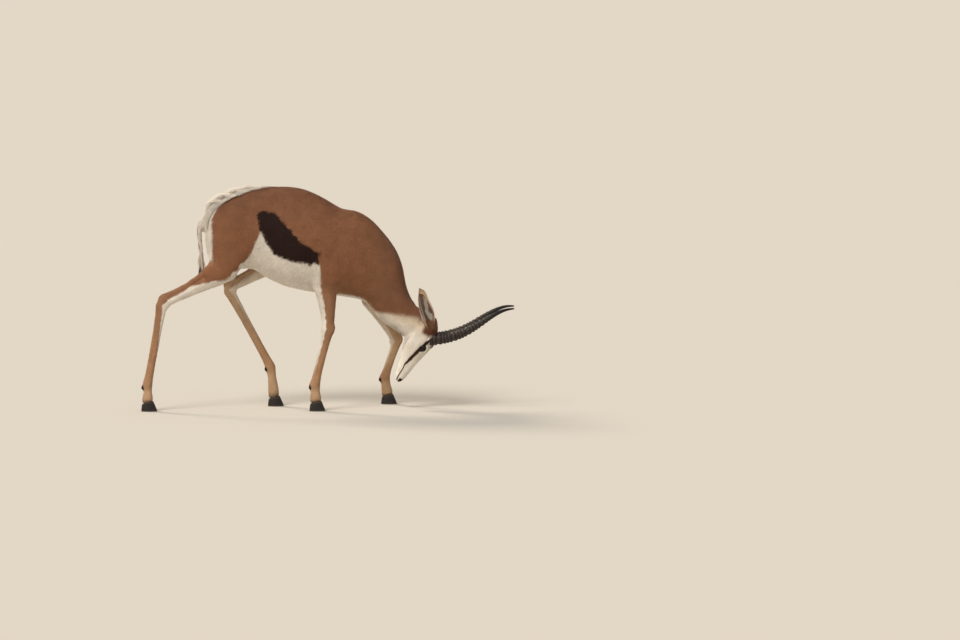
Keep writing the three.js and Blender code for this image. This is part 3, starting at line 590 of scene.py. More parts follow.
LEG_STROKES = {
    # Place along the joints, share of the front reach, share of the half width; reach and height.
    "hind": [
        ([(1.35, -0.4, 0.8), (1.6, -0.35, 1.0), (1.88, -0.4, 1.0)], 8, -5.5),  # before the Achilles tendon
        ([(1.3, 0.15, 1.0), (1.6, 0.2, 1.0), (1.9, 0.2, 1.0)], 7, 1.6),  # the shin bone
        ([(1.5, -1.0, 0.0), (1.8, -1.0, 0.0), (1.97, -1.0, 0.0)], 6, 1.5),  # the tendon itself
        ([(0.95, 0.9, 0.4), (1.05, 0.9, 0.4)], 16, 3.0),  # knee cap
        ([(2.0, 0.1, 1.0), (2.06, 0.1, 1.0)], 8, 1.6),  # bones of the hock
        ([(2.2, -0.2, 1.0), (2.5, -0.2, 1.0), (2.85, -0.2, 1.0)], 3.6, -1.8),  # groove before the tendons
        ([(2.97, 0.2, 0.9), (3.03, 0.0, 0.9)], 8, 1.2),  # fetlock
    ],
    "fore": [
        ([(1.1, 0.5, 0.9), (1.5, 0.4, 1.0), (1.8, 0.3, 1.0)], 10, 1.5),  # muscle on the forearm
        ([(1.2, -0.5, 0.9), (1.5, -0.5, 1.0), (1.8, -0.4, 1.0)], 6, -1.6),  # groove behind it
        ([(1.96, 0.8, 0.4), (2.04, 0.8, 0.4)], 9, 2.0),  # front of the knee
        ([(2.0, -0.9, 0.0), (2.06, -0.9, 0.0)], 6, 1.8),  # bone behind the knee
        ([(2.2, -0.2, 1.0), (2.5, -0.2, 1.0), (2.85, -0.2, 1.0)], 3.6, -1.8),
        ([(2.97, 0.2, 0.9), (3.03, 0.0, 0.9)], 8, 1.2),
    ],
}


# %% Strokes of both sides, and those of the legs
def leg_front(name, place):
    """The way to the front of a leg, square to its bones round about a place."""
    joints = LEG_JOINTS[name]
    way = unit(at_place(joints, min(place + 0.2, len(joints) - 1)) - at_place(joints, max(place - 0.2, 0)))
    return unit(np.array([-way[2], 0, way[0]]))


def leg_reach(name, place):
    """How far a leg reaches in front of its bones, behind them and to either side."""
    table = np.array(HIND_SECTIONS if name.startswith("hind") else FORE_SECTIONS, float)
    return [np.interp(place, table[:, 0], table[:, k]) for k in (1, 2, 3)]


def leg_point(name, place, ahead, aside):
    reach_front, reach_back, half = leg_reach(name, place)
    reach = reach_front if ahead > 0 else reach_back
    outwards = np.array([0, aside * half * side_of(name), 0])
    return at_place(LEG_JOINTS[name], place) + leg_front(name, place) * ahead * reach + outwards


strokes = []
for line, reach, height in SIDE_STROKES + RIB_STROKES:
    for side in (-1, 1):
        strokes.append(([(x, y * side, z) for x, y, z in line], reach, height))
for line, reach, height in HEAD_STROKES:
    for side in (-1, 1):
        strokes.append(([head_mm(s, d, y * side) for s, d, y in line], reach, height))
for name in LEG_JOINTS:
    for line, reach, height in LEG_STROKES[name.split("_")[0]]:
        for aside in (1, -1):
            on_leg = [leg_point(name, place, ahead, share * aside) for place, ahead, share in line]
            strokes.append((on_leg, reach, height))

# %% [markdown]
# ## Collars of the horns
# The horns stand in a low collar of skin. A ring reckoned from the horn's own axis fits its slant,
# which a stroke of points would not. Collars and strokes are summed for every point of the skin
# and raise it along its own normal, so that they run into each other without an edge.

# %% Collars of the horns, and the strokes made
HORN_ROOT = (46.0, 30.0, 24.0)  # s, d and y where the horns leave the skull
HORN_FIRST_WAY = (122.0, 14.0)  # degrees from the nose's way, and outwards
COLLAR_RADIUS = 23.0
COLLAR_WIDTH = 6.0
COLLAR_HEIGHT = 3.0
CROWN_FROM = 14.0  # d from which the skin belongs to the crown
STROKE_FADE = 2.4  # reaches from a stroke, beyond which nothing of it is left


def head_way(lean, splay, side):
    """A way from the head's axes: lean from the nose's way to the brow, splay outwards, in radians."""
    level = NOSE_AXIS * np.cos(lean)[..., None] + BROW_AXIS * np.sin(lean)[..., None]
    return level * np.cos(splay)[..., None] + np.array([0, 1, 0]) * side * np.sin(splay)[..., None]


def from_horn(mm, side):
    """Distance from the axis on which a horn leaves the head, and that axis."""
    axis = head_way(*np.radians(HORN_FIRST_WAY), side)
    spoke = mm - head_mm(HORN_ROOT[0], HORN_ROOT[1], HORN_ROOT[2] * side)
    return np.linalg.norm(spoke - (spoke @ axis)[:, None] * axis, axis=1), axis


# %% Raise the skin
skin_mm = drawn(points)
rise = np.zeros(len(points))
on_crown = head_measures(skin_mm)[1] > CROWN_FROM
for side in (-1, 1):
    rise += COLLAR_HEIGHT * hump(from_horn(skin_mm, side)[0], COLLAR_RADIUS, COLLAR_WIDTH) * on_crown
for line, reach, height in strokes:
    line = np.array(line)
    margin = reach * STROKE_FADE
    near = ((skin_mm > line.min(0) - margin) & (skin_mm < line.max(0) + margin)).all(1)
    distance = on_line(skin_mm[near], line)[1]
    rise[near] += height * hump(distance, 0, reach)
points += read_normals(skin_mesh) * rise[:, None] / 1000
write_points(skin_mesh, points)
print(len(strokes), "strokes, from", round(rise.min(), 1), "to", round(rise.max(), 1), "mm")

# %% [markdown]
# ## Lids, nostrils and mouth
# Close round the eye the skin is drawn onto the eyeball as two lids with a dark rim, and inside
# the almond opening it dives behind the ball. Moving the skin's own points keeps it all one
# surface. The faces there are divided first, so that the rim is crisp. The nostrils are curved
# slits pushed in from the side, and the mouth is a groove between two rolled lips.

# %% Finer grid where the face has small forms
EYE_ZONE = 27.0  # mm
NOSE_ZONE = (206.0, 245.0)  # s between which the nose is divided
NOSE_HALF = 40.0


def from_eye(s, d):
    """Distance from the middle of the eye in the side view."""
    return np.hypot(s - EYE[0], d - EYE[1])


def face_zone(mm):
    s, d, y = head_measures(mm)
    eye = (from_eye(s, d) < EYE_ZONE) & (np.abs(y) > 22)
    nose = (s > NOSE_ZONE[0]) & (s < NOSE_ZONE[1]) & (np.abs(y) < NOSE_HALF)
    return eye | nose


zone = face_zone(drawn(points))
finer = bmesh.new()
finer.from_mesh(skin_mesh)
chosen_edges = [edge for edge in finer.edges if zone[edge.verts[0].index] and zone[edge.verts[1].index]]
bmesh.ops.subdivide_edges(finer, edges=chosen_edges, cuts=1, use_grid_fill=True)
bmesh.ops.triangulate(finer, faces=[face for face in finer.faces if len(face.verts) > 4])
finer.to_mesh(skin_mesh)
finer.free()
points = read_points(skin_mesh)
skin_edges = read_edges(skin_mesh)
zone = face_zone(drawn(points))
sand(points, skin_edges, zone * 0.5, 6)
write_points(skin_mesh, points)
print("skin:", len(points), "points after dividing the face")

# %% Lids
LID_HALF_LENGTH = 14.5
UPPER_LID = 10.0
LOWER_LID = 7.6
LID_TILT = math.radians(10)
LID_THICKNESS = 1.9
LID_RIM = (0.9, 1.6, 1.4)  # mm: height, distance from the opening and width of the rolled rim
LID_CREASE = (1.4, 5.0, 1.0)  # mm: depth, distance from the opening and width of the fold
BEHIND_BALL = 4.5  # mm by which the skin dives into the ball inside the opening


def eye_plane(mm):
    """Place in front of the nearer eye: along the opening, across it, and out of the head."""
    s, d, y = head_measures(mm)
    along, across = s - EYE[0], d - EYE[1]
    turned = along * math.cos(LID_TILT) - across * math.sin(LID_TILT)
    lifted = along * math.sin(LID_TILT) + across * math.cos(LID_TILT)
    return turned, lifted, np.abs(y) - EYE[2]


def lid_edge(mm):
    """Distance outside the almond opening between the lids; less than 0 inside it."""
    along, across, _ = eye_plane(mm)
    curve = 1 - (along / LID_HALF_LENGTH) ** 2
    beyond_lids = np.maximum(across - UPPER_LID * curve, -LOWER_LID * curve - across) * 0.8
    return np.maximum(beyond_lids, np.abs(along) - LID_HALF_LENGTH)


# %% Close the lids round the eyes
mm = drawn(points)
along, across, out = eye_plane(mm)
s, d, y = head_measures(mm)
by_eye = (np.hypot(along, across) < EYE_ZONE - 2) & (out > -12) & (s < 130)
edge = lid_edge(mm)
centre = np.stack([head_mm(EYE[0], EYE[1], EYE[2] * side) for side in (-1, 1)])
centre = centre[(y > 0).astype(int)]
spoke = mm - centre
reach = np.linalg.norm(spoke, axis=1)
hug = EYE_RADIUS + LID_THICKNESS + LID_RIM[0] * hump(edge, *LID_RIM[1:])
wanted = np.where(edge > 0, reach + (hug - reach) * smoothstep(11, 2.5, edge), hug)
wanted = wanted + (EYE_RADIUS - BEHIND_BALL - wanted) * smoothstep(0.3, -1.0, edge)
crease = hump(edge, *LID_CREASE[1:]) * (0.35 + 0.65 * smoothstep(-2, 3, across))
wanted -= crease * LID_CREASE[0]
moved = centre + spoke * (wanted / np.maximum(reach, 1e-6))[:, None]
mm[by_eye] = moved[by_eye]
print("lids:", 2 * LID_HALF_LENGTH, "by", UPPER_LID + LOWER_LID, "mm,", by_eye.sum(), "points moved")

# %% Nostrils
NOSTRIL = (219.0, -6.0)
NOSTRIL_HALF = (6.2, 2.5)
NOSTRIL_TURN = math.radians(38)
NOSTRIL_BEND = 0.05
NOSTRIL_DEPTH = 7.0
NOSTRIL_WING = 0.9  # mm, height of the rim round it
ELSEWHERE = 9.0  # given to skin that isn't round a nostril

s, d, y = head_measures(mm)
cos, sin = math.cos(NOSTRIL_TURN), math.sin(NOSTRIL_TURN)
long_way = (s - NOSTRIL[0]) * cos + (d - NOSTRIL[1]) * sin
short_way = -(s - NOSTRIL[0]) * sin + (d - NOSTRIL[1]) * cos
short_way = short_way - NOSTRIL_BEND * long_way ** 2 + 0.8
nostril = np.hypot(long_way / NOSTRIL_HALF[0], short_way / NOSTRIL_HALF[1])
nostril[(np.abs(y) < 4.5) | (s < 195) | (np.abs(y) > 32)] = ELSEWHERE
inward = np.stack([np.zeros(len(mm)), -np.sign(y), np.zeros(len(mm))], 1) * 0.8 - NOSE_AXIS * 0.6
push = NOSTRIL_DEPTH * smoothstep(1.1, 0.55, nostril) - NOSTRIL_WING * hump(nostril, 1.45, 0.3)
mm += inward * push[:, None]
print("nostrils:", (nostril < 1.1).sum(), "points pushed in")

# %% Mouth
MOUTH_CORNER = (158.0, -19.0)
MOUTH_FRONT = (232.0, -17.0)
MOUTH_SWAY = (1.6, 12.0)  # mm, how high the line between the lips waves, and over what length
LIPS = (0.9, 3.2, 1.8)  # mm: height, distance from the line and width of each lip
LIP_GROOVE = (2.6, 1.2)  # mm: depth and width of the groove between them


def mouth_level(s):
    """d of the mouth at s along the nose, straight from its corner to its front."""
    return np.interp(s, [MOUTH_CORNER[0], MOUTH_FRONT[0]], [MOUTH_CORNER[1], MOUTH_FRONT[1]])


def mouth_line(s):
    """d of the line between the lips, which sways a little."""
    return mouth_level(s) + MOUTH_SWAY[0] * np.sin((s - MOUTH_CORNER[0]) / MOUTH_SWAY[1])


s, d, y = head_measures(mm)
mouth_gap = np.abs(d - mouth_line(s))
in_mouth = smoothstep(MOUTH_CORNER[0] - 3, MOUTH_CORNER[0] + 5, s)
in_mouth = in_mouth * (s < NOSE_ZONE[1]) * (np.abs(y) < NOSE_HALF)
write_points(skin_mesh, (mm + SHIFT) / 1000)
lip_rise = LIPS[0] * hump(mouth_gap, *LIPS[1:]) - LIP_GROOVE[0] * hump(mouth_gap, 0, LIP_GROOVE[1])
mm += read_normals(skin_mesh) * (in_mouth * lip_rise)[:, None]
points = (mm + SHIFT) / 1000
sand(points, skin_edges, face_zone(mm) * 0.3, 1)
write_points(skin_mesh, points)
print("mouth:", (mouth_gap * in_mouth > 0).sum(), "points near it, from", MOUTH_CORNER, "to", MOUTH_FRONT)

# %% [markdown]
# ## Markings
# A springbok is cinnamon above and white below, with a dark chocolate band between the two from
# the elbow to the flank, a white rump, fawn legs and a white face with a brown brow and a dark
# streak from eye to mouth. One function gives the colour of any place from its position alone,
# so that the skin and every tuft that grows on it always agree.

# %% Paints
def paint(code):
    """A colour code such as 9c6238 as linear red, green and blue."""
    value = np.array([int(code[i:i + 2], 16) / 255 for i in (0, 2, 4)])
    return np.where(value <= 0.04045, value / 12.92, ((value + 0.055) / 1.055) ** 2.4)


CINNAMON = paint("916244")
BACK_BROWN = paint("7c523b")
NECK_BROWN = paint("835940")
CHOCOLATE = paint("27130d")
WHITE_HAIR = paint("e6ddd0")
CREAM = paint("d2b793")
FAWN = paint("ab8260")
SHIN_BROWN = paint("9a7153")
BROW_BROWN = paint("6a412b")
FACE_STREAK = paint("3a2017")
NOSE_BLACK = paint("1b1615")
EAR_BACK = paint("b7977a")
EAR_SKIN = paint("7d6358")
TUFT_BLACK = paint("1a1210")
EAR_OPENS = np.array([0.75, 0.72, -0.1])  # the way that the left ear's cup opens
EAR_ROW_WIDTH = 3.4  # mm, spacing of the rows of hair in the cup as a wave
print("cinnamon, linear:", np.round(CINNAMON, 3), "chocolate:", np.round(CHOCOLATE, 3))

# %% Lines of the markings, read in the side view as x and z in mm
BAND_TOP = [(-150, 722), (-90, 722), (-43, 673), (7, 618), (55, 588), (88, 573), (190, 548)]
BAND_FOOT = [
    (-160, 688), (-140, 665), (-126, 636), (-112, 604), (-88, 574), (-50, 553), (7, 541), (79, 534),
    (190, 500),
]
BAND_REAR = -142.0
BAND_FRONT = (77.0, 178.0)  # where the upper arm covers it, on the right and the left side
UNDERSIDE = [
    (-130, 478), (-55, 442), (25, 424), (100, 412), (160, 404), (205, 396), (232, 387), (250, 366),
    (283, 325), (328, 291), (383, 255), (412, 238), (450, 210),
]
LEG_STARTS = {  # places along each leg from which it has its own colour and not the body's
    "hind_right": (0.95, 1.2), "hind_left": (1.0, 1.2), "fore_right": (0.1, 0.5), "fore_left": (0.5, 0.8),
}
LEG_REACH = 110.0  # mm from a leg's bones to where its own colours have ended
# The front edge of each thigh, as z and x. The left leg reaches forward under the belly.
THIGH_EDGE = [(408, -356), (466, -272), (510, -228), (564, -178), (629, -142), (650, -134), (700, -130)]
LEFT_THIGH_EDGE = [
    (430, -230), (470, -130), (500, -60), (525, -22), (560, -14), (590, -26), (625, -58), (665, -105),
    (700, -150),
]
DEWCLAW = (-21, 0, -9)  # mm from the fetlock to the middle between the two dewclaws
DEWCLAW_SIZE = (11, 19, 13)


def line_at(line, value):
    table = np.array(sorted(line), float)
    return np.interp(value, table[:, 0], table[:, 1])


def leg_measures(mm, name):
    """How far down a leg each point is, how far to its front, and how far to its outer side."""
    place, _, way = on_line(mm, LEG_JOINTS[name])
    centre = at_place(LEG_JOINTS[name], place)
    front = unit(np.stack([-way[:, 2], np.zeros(len(mm)), way[:, 0]], 1))
    ahead = ((mm - centre) * front).sum(1)
    reach_front, reach_back, half = leg_reach(name, place)
    ahead = ahead / np.where(ahead > 0, reach_front, reach_back)
    return place, ahead, (mm[:, 1] - centre[:, 1]) * side_of(name) / half


def from_dewclaws(mm, name):
    """Distance from a leg's dewclaws, as a share of their size."""
    return np.linalg.norm((mm - (np.array(LEG_JOINTS[name][3], float) + DEWCLAW)) / DEWCLAW_SIZE, axis=1)


# %% Colour of the body
def body_colour(mm):
    x, y, z = mm.T
    wobble = ripple(mm, 16, 3) * 3 + ripple(mm, 6, 4) * 1.6
    z_marked, x_marked = z + wobble, x + wobble
    colour = blend(CINNAMON, BACK_BROWN, smoothstep(640, 800, z) * 0.7)
    colour = blend(colour, NECK_BROWN, smoothstep(190, 330, x) * 0.9)
    above_foot = z_marked - line_at(BAND_FOOT, x)
    above_top = z_marked - line_at(BAND_TOP, x)
    above_under = z_marked - line_at(UNDERSIDE, x)
    past_front = x_marked - np.where(y < 0, *BAND_FRONT)
    thigh = np.interp(z, *np.array(THIGH_EDGE, float).T)
    left_thigh = np.interp(z, *np.array(LEFT_THIGH_EDGE, float).T)
    thigh += (left_thigh - thigh) * smoothstep(38, 52, y)
    belly = smoothstep(3, -3, above_foot) * smoothstep(8, -4, past_front)
    belly = belly * smoothstep(-3, 3, x_marked - thigh)
    between_legs = smoothstep(26, 12, above_under) * smoothstep(66, 48, np.abs(y)) * smoothstep(60, 80, x)
    throat = smoothstep(34, 20, above_under) * smoothstep(215, 280, x)
    colour = blend(colour, WHITE_HAIR, np.maximum(belly, between_legs))
    colour = blend(colour, CREAM, throat * 0.9)
    chocolate = smoothstep(-2.5, 2.5, above_foot) * smoothstep(3.5, -3.5, above_top)
    chocolate *= smoothstep(-3, 3, x_marked - BAND_REAR) * smoothstep(5, -5, past_front)
    chocolate *= np.where(y < 0, 1.0, smoothstep(-3, 3, x_marked - left_thigh))
    colour = blend(colour, CHOCOLATE, chocolate)
    rear = smoothstep(-303, -315, x_marked) * smoothstep(478, 512, z_marked)
    saddle_half = np.interp(x, [-330, -290, -200, -130], [64, 46, 24, 0])
    saddle = smoothstep(3, -3, np.abs(y) - saddle_half) * smoothstep(-130, -150, x) * (z > 640)
    return blend(colour, WHITE_HAIR, np.maximum(rear, saddle))


# %% Colour of the legs
def hind_colour(place, ahead):
    """The colour of a hind leg, and the share of white hair down its front."""
    colour = blend(CINNAMON, SHIN_BROWN, smoothstep(1.3, 2.0, place))
    colour = blend(colour, FAWN, smoothstep(2.0, 2.7, place) * 0.8)
    edge = np.interp(place, [0.9, 1.1, 1.3, 1.5, 1.9, 2.1, 2.6], [1.2, 0.7, 0.2, -0.2, -0.15, 0.3, 0.7])
    return colour, smoothstep(-0.07, 0.07, ahead - edge) * smoothstep(2.7, 2.2, place)


def fore_colour(place, ahead):
    """The colour of a foreleg, and the share of white hair down its back."""
    colour = blend(CINNAMON, SHIN_BROWN, smoothstep(0.7, 1.5, place))
    colour = blend(colour, FAWN, smoothstep(1.8, 2.6, place) * 0.8)
    edge = np.interp(place, [0.9, 1.1, 1.5, 2.0, 2.5], [-0.5, -0.35, -0.25, -0.3, -0.5])
    behind = smoothstep(0.07, -0.07, ahead - edge)
    return colour, behind * smoothstep(0.95, 1.05, place) * smoothstep(3.0, 2.2, place)


def leg_colour(mm, name, above):
    """The colour of a leg, running into the body's colour above its top."""
    wobble = ripple(mm, 9, 6) * 0.05
    place, ahead, aside = leg_measures(mm, name)
    colour, pale = (hind_colour if name.startswith("hind") else fore_colour)(place, ahead + wobble)
    inner = smoothstep(-0.3, -0.6, aside + wobble) * smoothstep(0.6, 0.9, place) * smoothstep(3.0, 2.2, place)
    colour = blend(colour, CREAM, inner * 0.5)
    colour = blend(colour, WHITE_HAIR, pale * (1 - 0.4 * inner))
    colour = blend(colour, CREAM, smoothstep(2.8, 3.4, place) * 0.4)
    colour = blend(colour, CHOCOLATE, smoothstep(3.72, 3.95, place) * 0.6)
    own = smoothstep(1.42, 1.16, np.hypot(ahead, aside * 0.9)) * smoothstep(*LEG_STARTS[name], place)
    own = own * smoothstep(LEG_REACH, LEG_REACH - 20, on_line(mm, LEG_JOINTS[name])[1])
    if name == "fore_right":
        behind_elbow = smoothstep(BAND_FRONT[0] + 6, BAND_FRONT[0] - 6, mm[:, 0])
        own = own * (1 - behind_elbow * smoothstep(1.12, 0.95, place))
    behind_fetlock = mm[:, 0] < LEG_JOINTS[name][3][0] - 12
    horny = smoothstep(1.05, 0.9, from_dewclaws(mm, name)) * behind_fetlock
    return blend(colour * own[:, None] + above * (1 - own[:, None]), NOSE_BLACK, horny)


# %% Colour of the head
def head_colour(mm):
    s, d, y = head_measures(mm)
    side = np.abs(y)
    wobble = ripple(mm, 8, 8) * 1.6
    colour = blend(all_over(WHITE_HAIR, mm), CREAM, smoothstep(60, 10, s) * 0.6)
    crown = smoothstep(44, 26, s + wobble) * smoothstep(-24, -8, d)
    brow_half = np.interp(s, [-10, 40, 70, 118, 134], [46, 34, 23, 11, -6])
    brow = smoothstep(2.5, -2.5, side - brow_half + wobble) * smoothstep(0, 8, d) * smoothstep(-30, -10, s)
    colour = blend(colour, BROW_BROWN, np.maximum(crown, brow))
    nape = smoothstep(16, -6, s + wobble * 2) * smoothstep(-52, -34, d)
    colour = blend(colour, NECK_BROWN, nape)
    streak_d = np.interp(s, [44, 78, 110, 165], [22, 8, -2, -17])
    streak_half = np.interp(s, [40, 60, 95, 150, 168], [1.5, 6, 7.5, 5, 2.5])
    streak = smoothstep(1.8, -1.8, np.abs(d - streak_d) - streak_half + wobble * 0.6)
    streak *= smoothstep(36, 46, s) * smoothstep(172, 160, s)
    colour = blend(colour, FACE_STREAK, streak * (side > 14))
    rim = smoothstep(2.6, 1.4, lid_edge(mm)) * (side > 24) * (s > 50) * (s < 110)
    colour = blend(colour, NOSE_BLACK, rim)
    pad = smoothstep(214, 218, s + wobble * 0.5) * smoothstep(-15, -11, d + wobble * 0.4)
    lips = smoothstep(2.6, 1.2, np.abs(d - mouth_line(s)))
    lips = lips * smoothstep(MOUTH_CORNER[0], MOUTH_CORNER[0] + 6, s)
    return blend(colour, NOSE_BLACK, np.maximum(pad, lips))


# %% Colour of ears and tail, and of the whole coat
TAIL_BLACK = 530.0  # z below which the tail's hair is black


def ear_measures(mm, normals):
    """For points of either ear: share from root to tip, how far inside the cup, and rows of pale hair."""
    mirror = np.stack([np.ones(len(mm)), np.sign(mm[:, 1]), np.ones(len(mm))], 1)
    long = ear_way(1)
    spoke = mm * mirror - ear_line(1)[0]
    share = spoke @ long / EAR_LENGTH
    hollow = unit(EAR_OPENS - long * (EAR_OPENS @ long))
    inside = smoothstep(0.0, 0.35, (normals * mirror) @ hollow) * smoothstep(0.02, 0.2, share)
    across = spoke @ np.cross(long, hollow)
    rows = smoothstep(0.0, 0.9, np.sin(across / EAR_ROW_WIDTH + ripple(mm, 24, 12) * 0.5))
    return share, inside, rows


def ear_colour(mm, normals):
    share, inside, rows = ear_measures(mm, normals)
    back = blend(EAR_BACK, BROW_BROWN, smoothstep(0.25, 0.0, share) * 0.9)
    inner = blend(EAR_SKIN, CREAM, rows * 0.55)
    colour = blend(back, inner, inside)
    return blend(colour, BROW_BROWN, smoothstep(0.8, 0.98, share) * 0.7)


def tail_colour(mm):
    black = smoothstep(-0.1, 0.1, (TAIL_BLACK + ripple(mm, 8, 9) * 8 - mm[:, 2]) / 60)
    rear_line = smoothstep(4, -2, mm[:, 0] + 352) * smoothstep(7, 3, np.abs(mm[:, 1])) * 0.5
    return blend(blend(all_over(WHITE_HAIR, mm), CINNAMON, rear_line), TUFT_BLACK, black)


def coat_colour(mm, normals, parts):
    """Linear colour of the coat at places given in the drawing's millimetres."""
    colour = body_colour(mm)
    for name in LEG_JOINTS:
        near = is_part(parts, "leg_" + name, "trunk") & (mm[:, 1] * side_of(name) > -5)
        colour[near] = leg_colour(mm[near], name, colour[near])
    tail = is_part(parts, "tail")
    colour[tail] = tail_colour(mm[tail])
    s, d, y = head_measures(mm)
    face = is_part(parts, "head", "neck") * smoothstep(-30, -8, s + 0.3 * d)
    colour = colour * (1 - face[:, None]) + head_colour(mm) * face[:, None]
    ear = is_part(parts, *EARS)
    colour[ear] = ear_colour(mm[ear], normals[ear])
    return np.clip(colour, 0, 1)


# %% Paint the skin
def set_colours(mesh, name, colours):
    attribute = mesh.attributes.new(name, "FLOAT_COLOR", "POINT")
    rgba = np.ones((len(colours), 4), np.float32)
    rgba[:, :3] = colours
    attribute.data.foreach_set("color", rgba.ravel())


points = read_points(skin_mesh)
normals = read_normals(skin_mesh)
skin_mm = drawn(points)
skin_parts = nearest_parts(points)
skin_colours = coat_colour(skin_mm, normals, skin_parts)
set_colours(skin_mesh, "coat_colour", skin_colours)
print("mean skin colour:", np.round(skin_colours.mean(0), 3))

# %% [markdown]
# ## Finishes
# Hair is matt with a faint sheen and never one flat colour. The painted colour is varied by two
# sizes of noise, and a fine bump breaks up the light. Horn and hoof are smoother.

# %% Nodes of a material
def fresh_material(name, roughness):
    material = bpy.data.materials.new(name)
    material.use_nodes = True
    shader = material.node_tree.nodes["Principled BSDF"]
    shader.inputs["Roughness"].default_value = roughness
    return material, material.node_tree, shader


def add_node(tree, kind, **values):
    node = tree.nodes.new(kind)
    for key, value in values.items():
        if key in node.inputs:
            node.inputs[key].default_value = value
        else:
            setattr(node, key, value)
    return node


def noise(tree, scale, detail=4.0):
    node = add_node(tree, "ShaderNodeTexNoise", Scale=scale, Detail=detail)
    place = add_node(tree, "ShaderNodeTexCoord")
    tree.links.new(place.outputs["Object"], node.inputs["Vector"])
    return node


def shaded_by(tree, colour_output, field_output, low, high):
    """A colour made darker and lighter by a field, from low to high times itself."""
    spread = add_node(tree, "ShaderNodeMapRange")
    for key, value in {"From Min": 0.3, "From Max": 0.7, "To Min": low, "To Max": high}.items():
        spread.inputs[key].default_value = value
    tree.links.new(field_output, spread.inputs["Value"])
    scale = add_node(tree, "ShaderNodeVectorMath", operation="SCALE")
    tree.links.new(colour_output, scale.inputs[0])
    tree.links.new(spread.outputs["Result"], scale.inputs["Scale"])
    return scale.outputs["Vector"]


def add_bump(tree, shader, height_output, strength, distance):
    bump = add_node(tree, "ShaderNodeBump", Strength=strength, Distance=distance)
    tree.links.new(height_output, bump.inputs["Height"])
    tree.links.new(bump.outputs["Normal"], shader.inputs["Normal"])


def painted_material(name, roughness, specular, painted, *shades):
    """A material with a painted colour, shaded by noises given as (scale, detail, low, high)."""
    material, tree, shader = fresh_material(name, roughness)
    shader.inputs["Specular IOR Level"].default_value = specular
    colour = add_node(tree, "ShaderNodeAttribute", attribute_name=painted).outputs["Color"]
    for scale, detail, low, high in shades:
        field = noise(tree, scale, detail).outputs["Fac"]
        colour = shaded_by(tree, colour, field, low, high)
    tree.links.new(colour, shader.inputs["Base Color"])
    return material, tree, shader, field


# %% Coat material, and the skin dressed in it
def coat_material(name, roughness, sheen, bump):
    shades = ((28.0, 4.0, 0.9, 1.08), (420.0, 3.0, 0.84, 1.12))
    material, tree, shader, fine = painted_material(name, roughness, 0.18, "coat_colour", *shades)
    shader.inputs["Sheen Weight"].default_value = sheen
    shader.inputs["Sheen Roughness"].default_value = 0.45
    add_bump(tree, shader, fine, bump, 0.001)
    return material


skin_material = coat_material("skin_with_short_hair", 0.75, 0.04, 0.5)
tuft_material = coat_material("hair_tufts", 0.66, 0.08, 0.25)
skin = placed("skin", skin_mesh)
skin_mesh.materials.clear()
skin_mesh.materials.append(skin_material)
skin_mesh.shade_smooth()
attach(skin, "root")
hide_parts(*flesh)
print("skin replaces", len(flesh), "solids")

# %% [markdown]
# ## Where tufts grow and how they lie
# Roots are drawn at random over the skin and thinned to one in each small cube, which spreads them
# as evenly as hair grows. Each tuft takes the lie of the guide lines near it, turned into the
# skin's own plane, so the coat runs from nose to tail and down the legs without a parting.

# %% Roots of the tufts
skin_mesh.calc_loop_triangles()
triangle_flat = np.empty(len(skin_mesh.loop_triangles) * 3, np.int32)
skin_mesh.loop_triangles.foreach_get("vertices", triangle_flat)
triangles = triangle_flat.reshape(-1, 3)
triangle_parts = skin_parts[triangles[:, 0]]
print("skin:", len(triangles), "triangles to grow tufts on")


TRIES = 5  # draws for each place that is wanted
CELL = 1.22  # side of the thinning cubes, in spacings
CELL_PRIMES = (73856093, 19349663, 83492791)  # they give each cube a number of its own


def scatter(allowed, spacing, seed):
    """Evenly spread places on the allowed triangles: point, normal and part of each."""
    random = np.random.default_rng(seed)
    chosen = triangles[allowed]
    a, b, c = (points[chosen[:, k]] for k in range(3))
    area = np.linalg.norm(np.cross(b - a, c - a), axis=1) / 2
    tries = int(area.sum() / spacing ** 2 * TRIES)
    pick = random.choice(len(chosen), tries, p=area / area.sum())
    u, v = random.random(tries), random.random(tries)
    over = u + v > 1
    u[over], v[over] = 1 - u[over], 1 - v[over]
    weights = np.stack([1 - u - v, u, v], 1)
    corners = chosen[pick]
    place = (points[corners] * weights[:, :, None]).sum(1)
    normal = unit((normals[corners] * weights[:, :, None]).sum(1))
    cell = np.floor(place / (spacing * CELL)).astype(np.int64)
    key = np.bitwise_xor.reduce(cell * CELL_PRIMES, axis=1)
    first = np.unique(key, return_index=True)[1]
    return place[first], normal[first], skin_parts[corners[first, 0]]


# %% Lie of the hair
LIE_SOFTNESS = 34.0  # mm over which one guide's lie runs into the next
GUIDE_STEP = 18.0  # mm
AT_ONCE = 20000  # points worked on together, to save memory
HANG = 0.22  # how much the hair of trunk and neck hangs down


def fine_guide(line):
    """Points and ways along a guide line, close together."""
    line = np.array(line, float)
    runs = np.diff(line, axis=0)
    counts = np.maximum((np.linalg.norm(runs, axis=1) / GUIDE_STEP).astype(int), 1)
    places = [line[i] + runs[i] * (np.arange(n) + 0.5)[:, None] / n for i, n in enumerate(counts)]
    ways = [np.repeat(unit(runs[i])[None], n, 0) for i, n in enumerate(counts)]
    return np.concatenate(places), np.concatenate(ways)


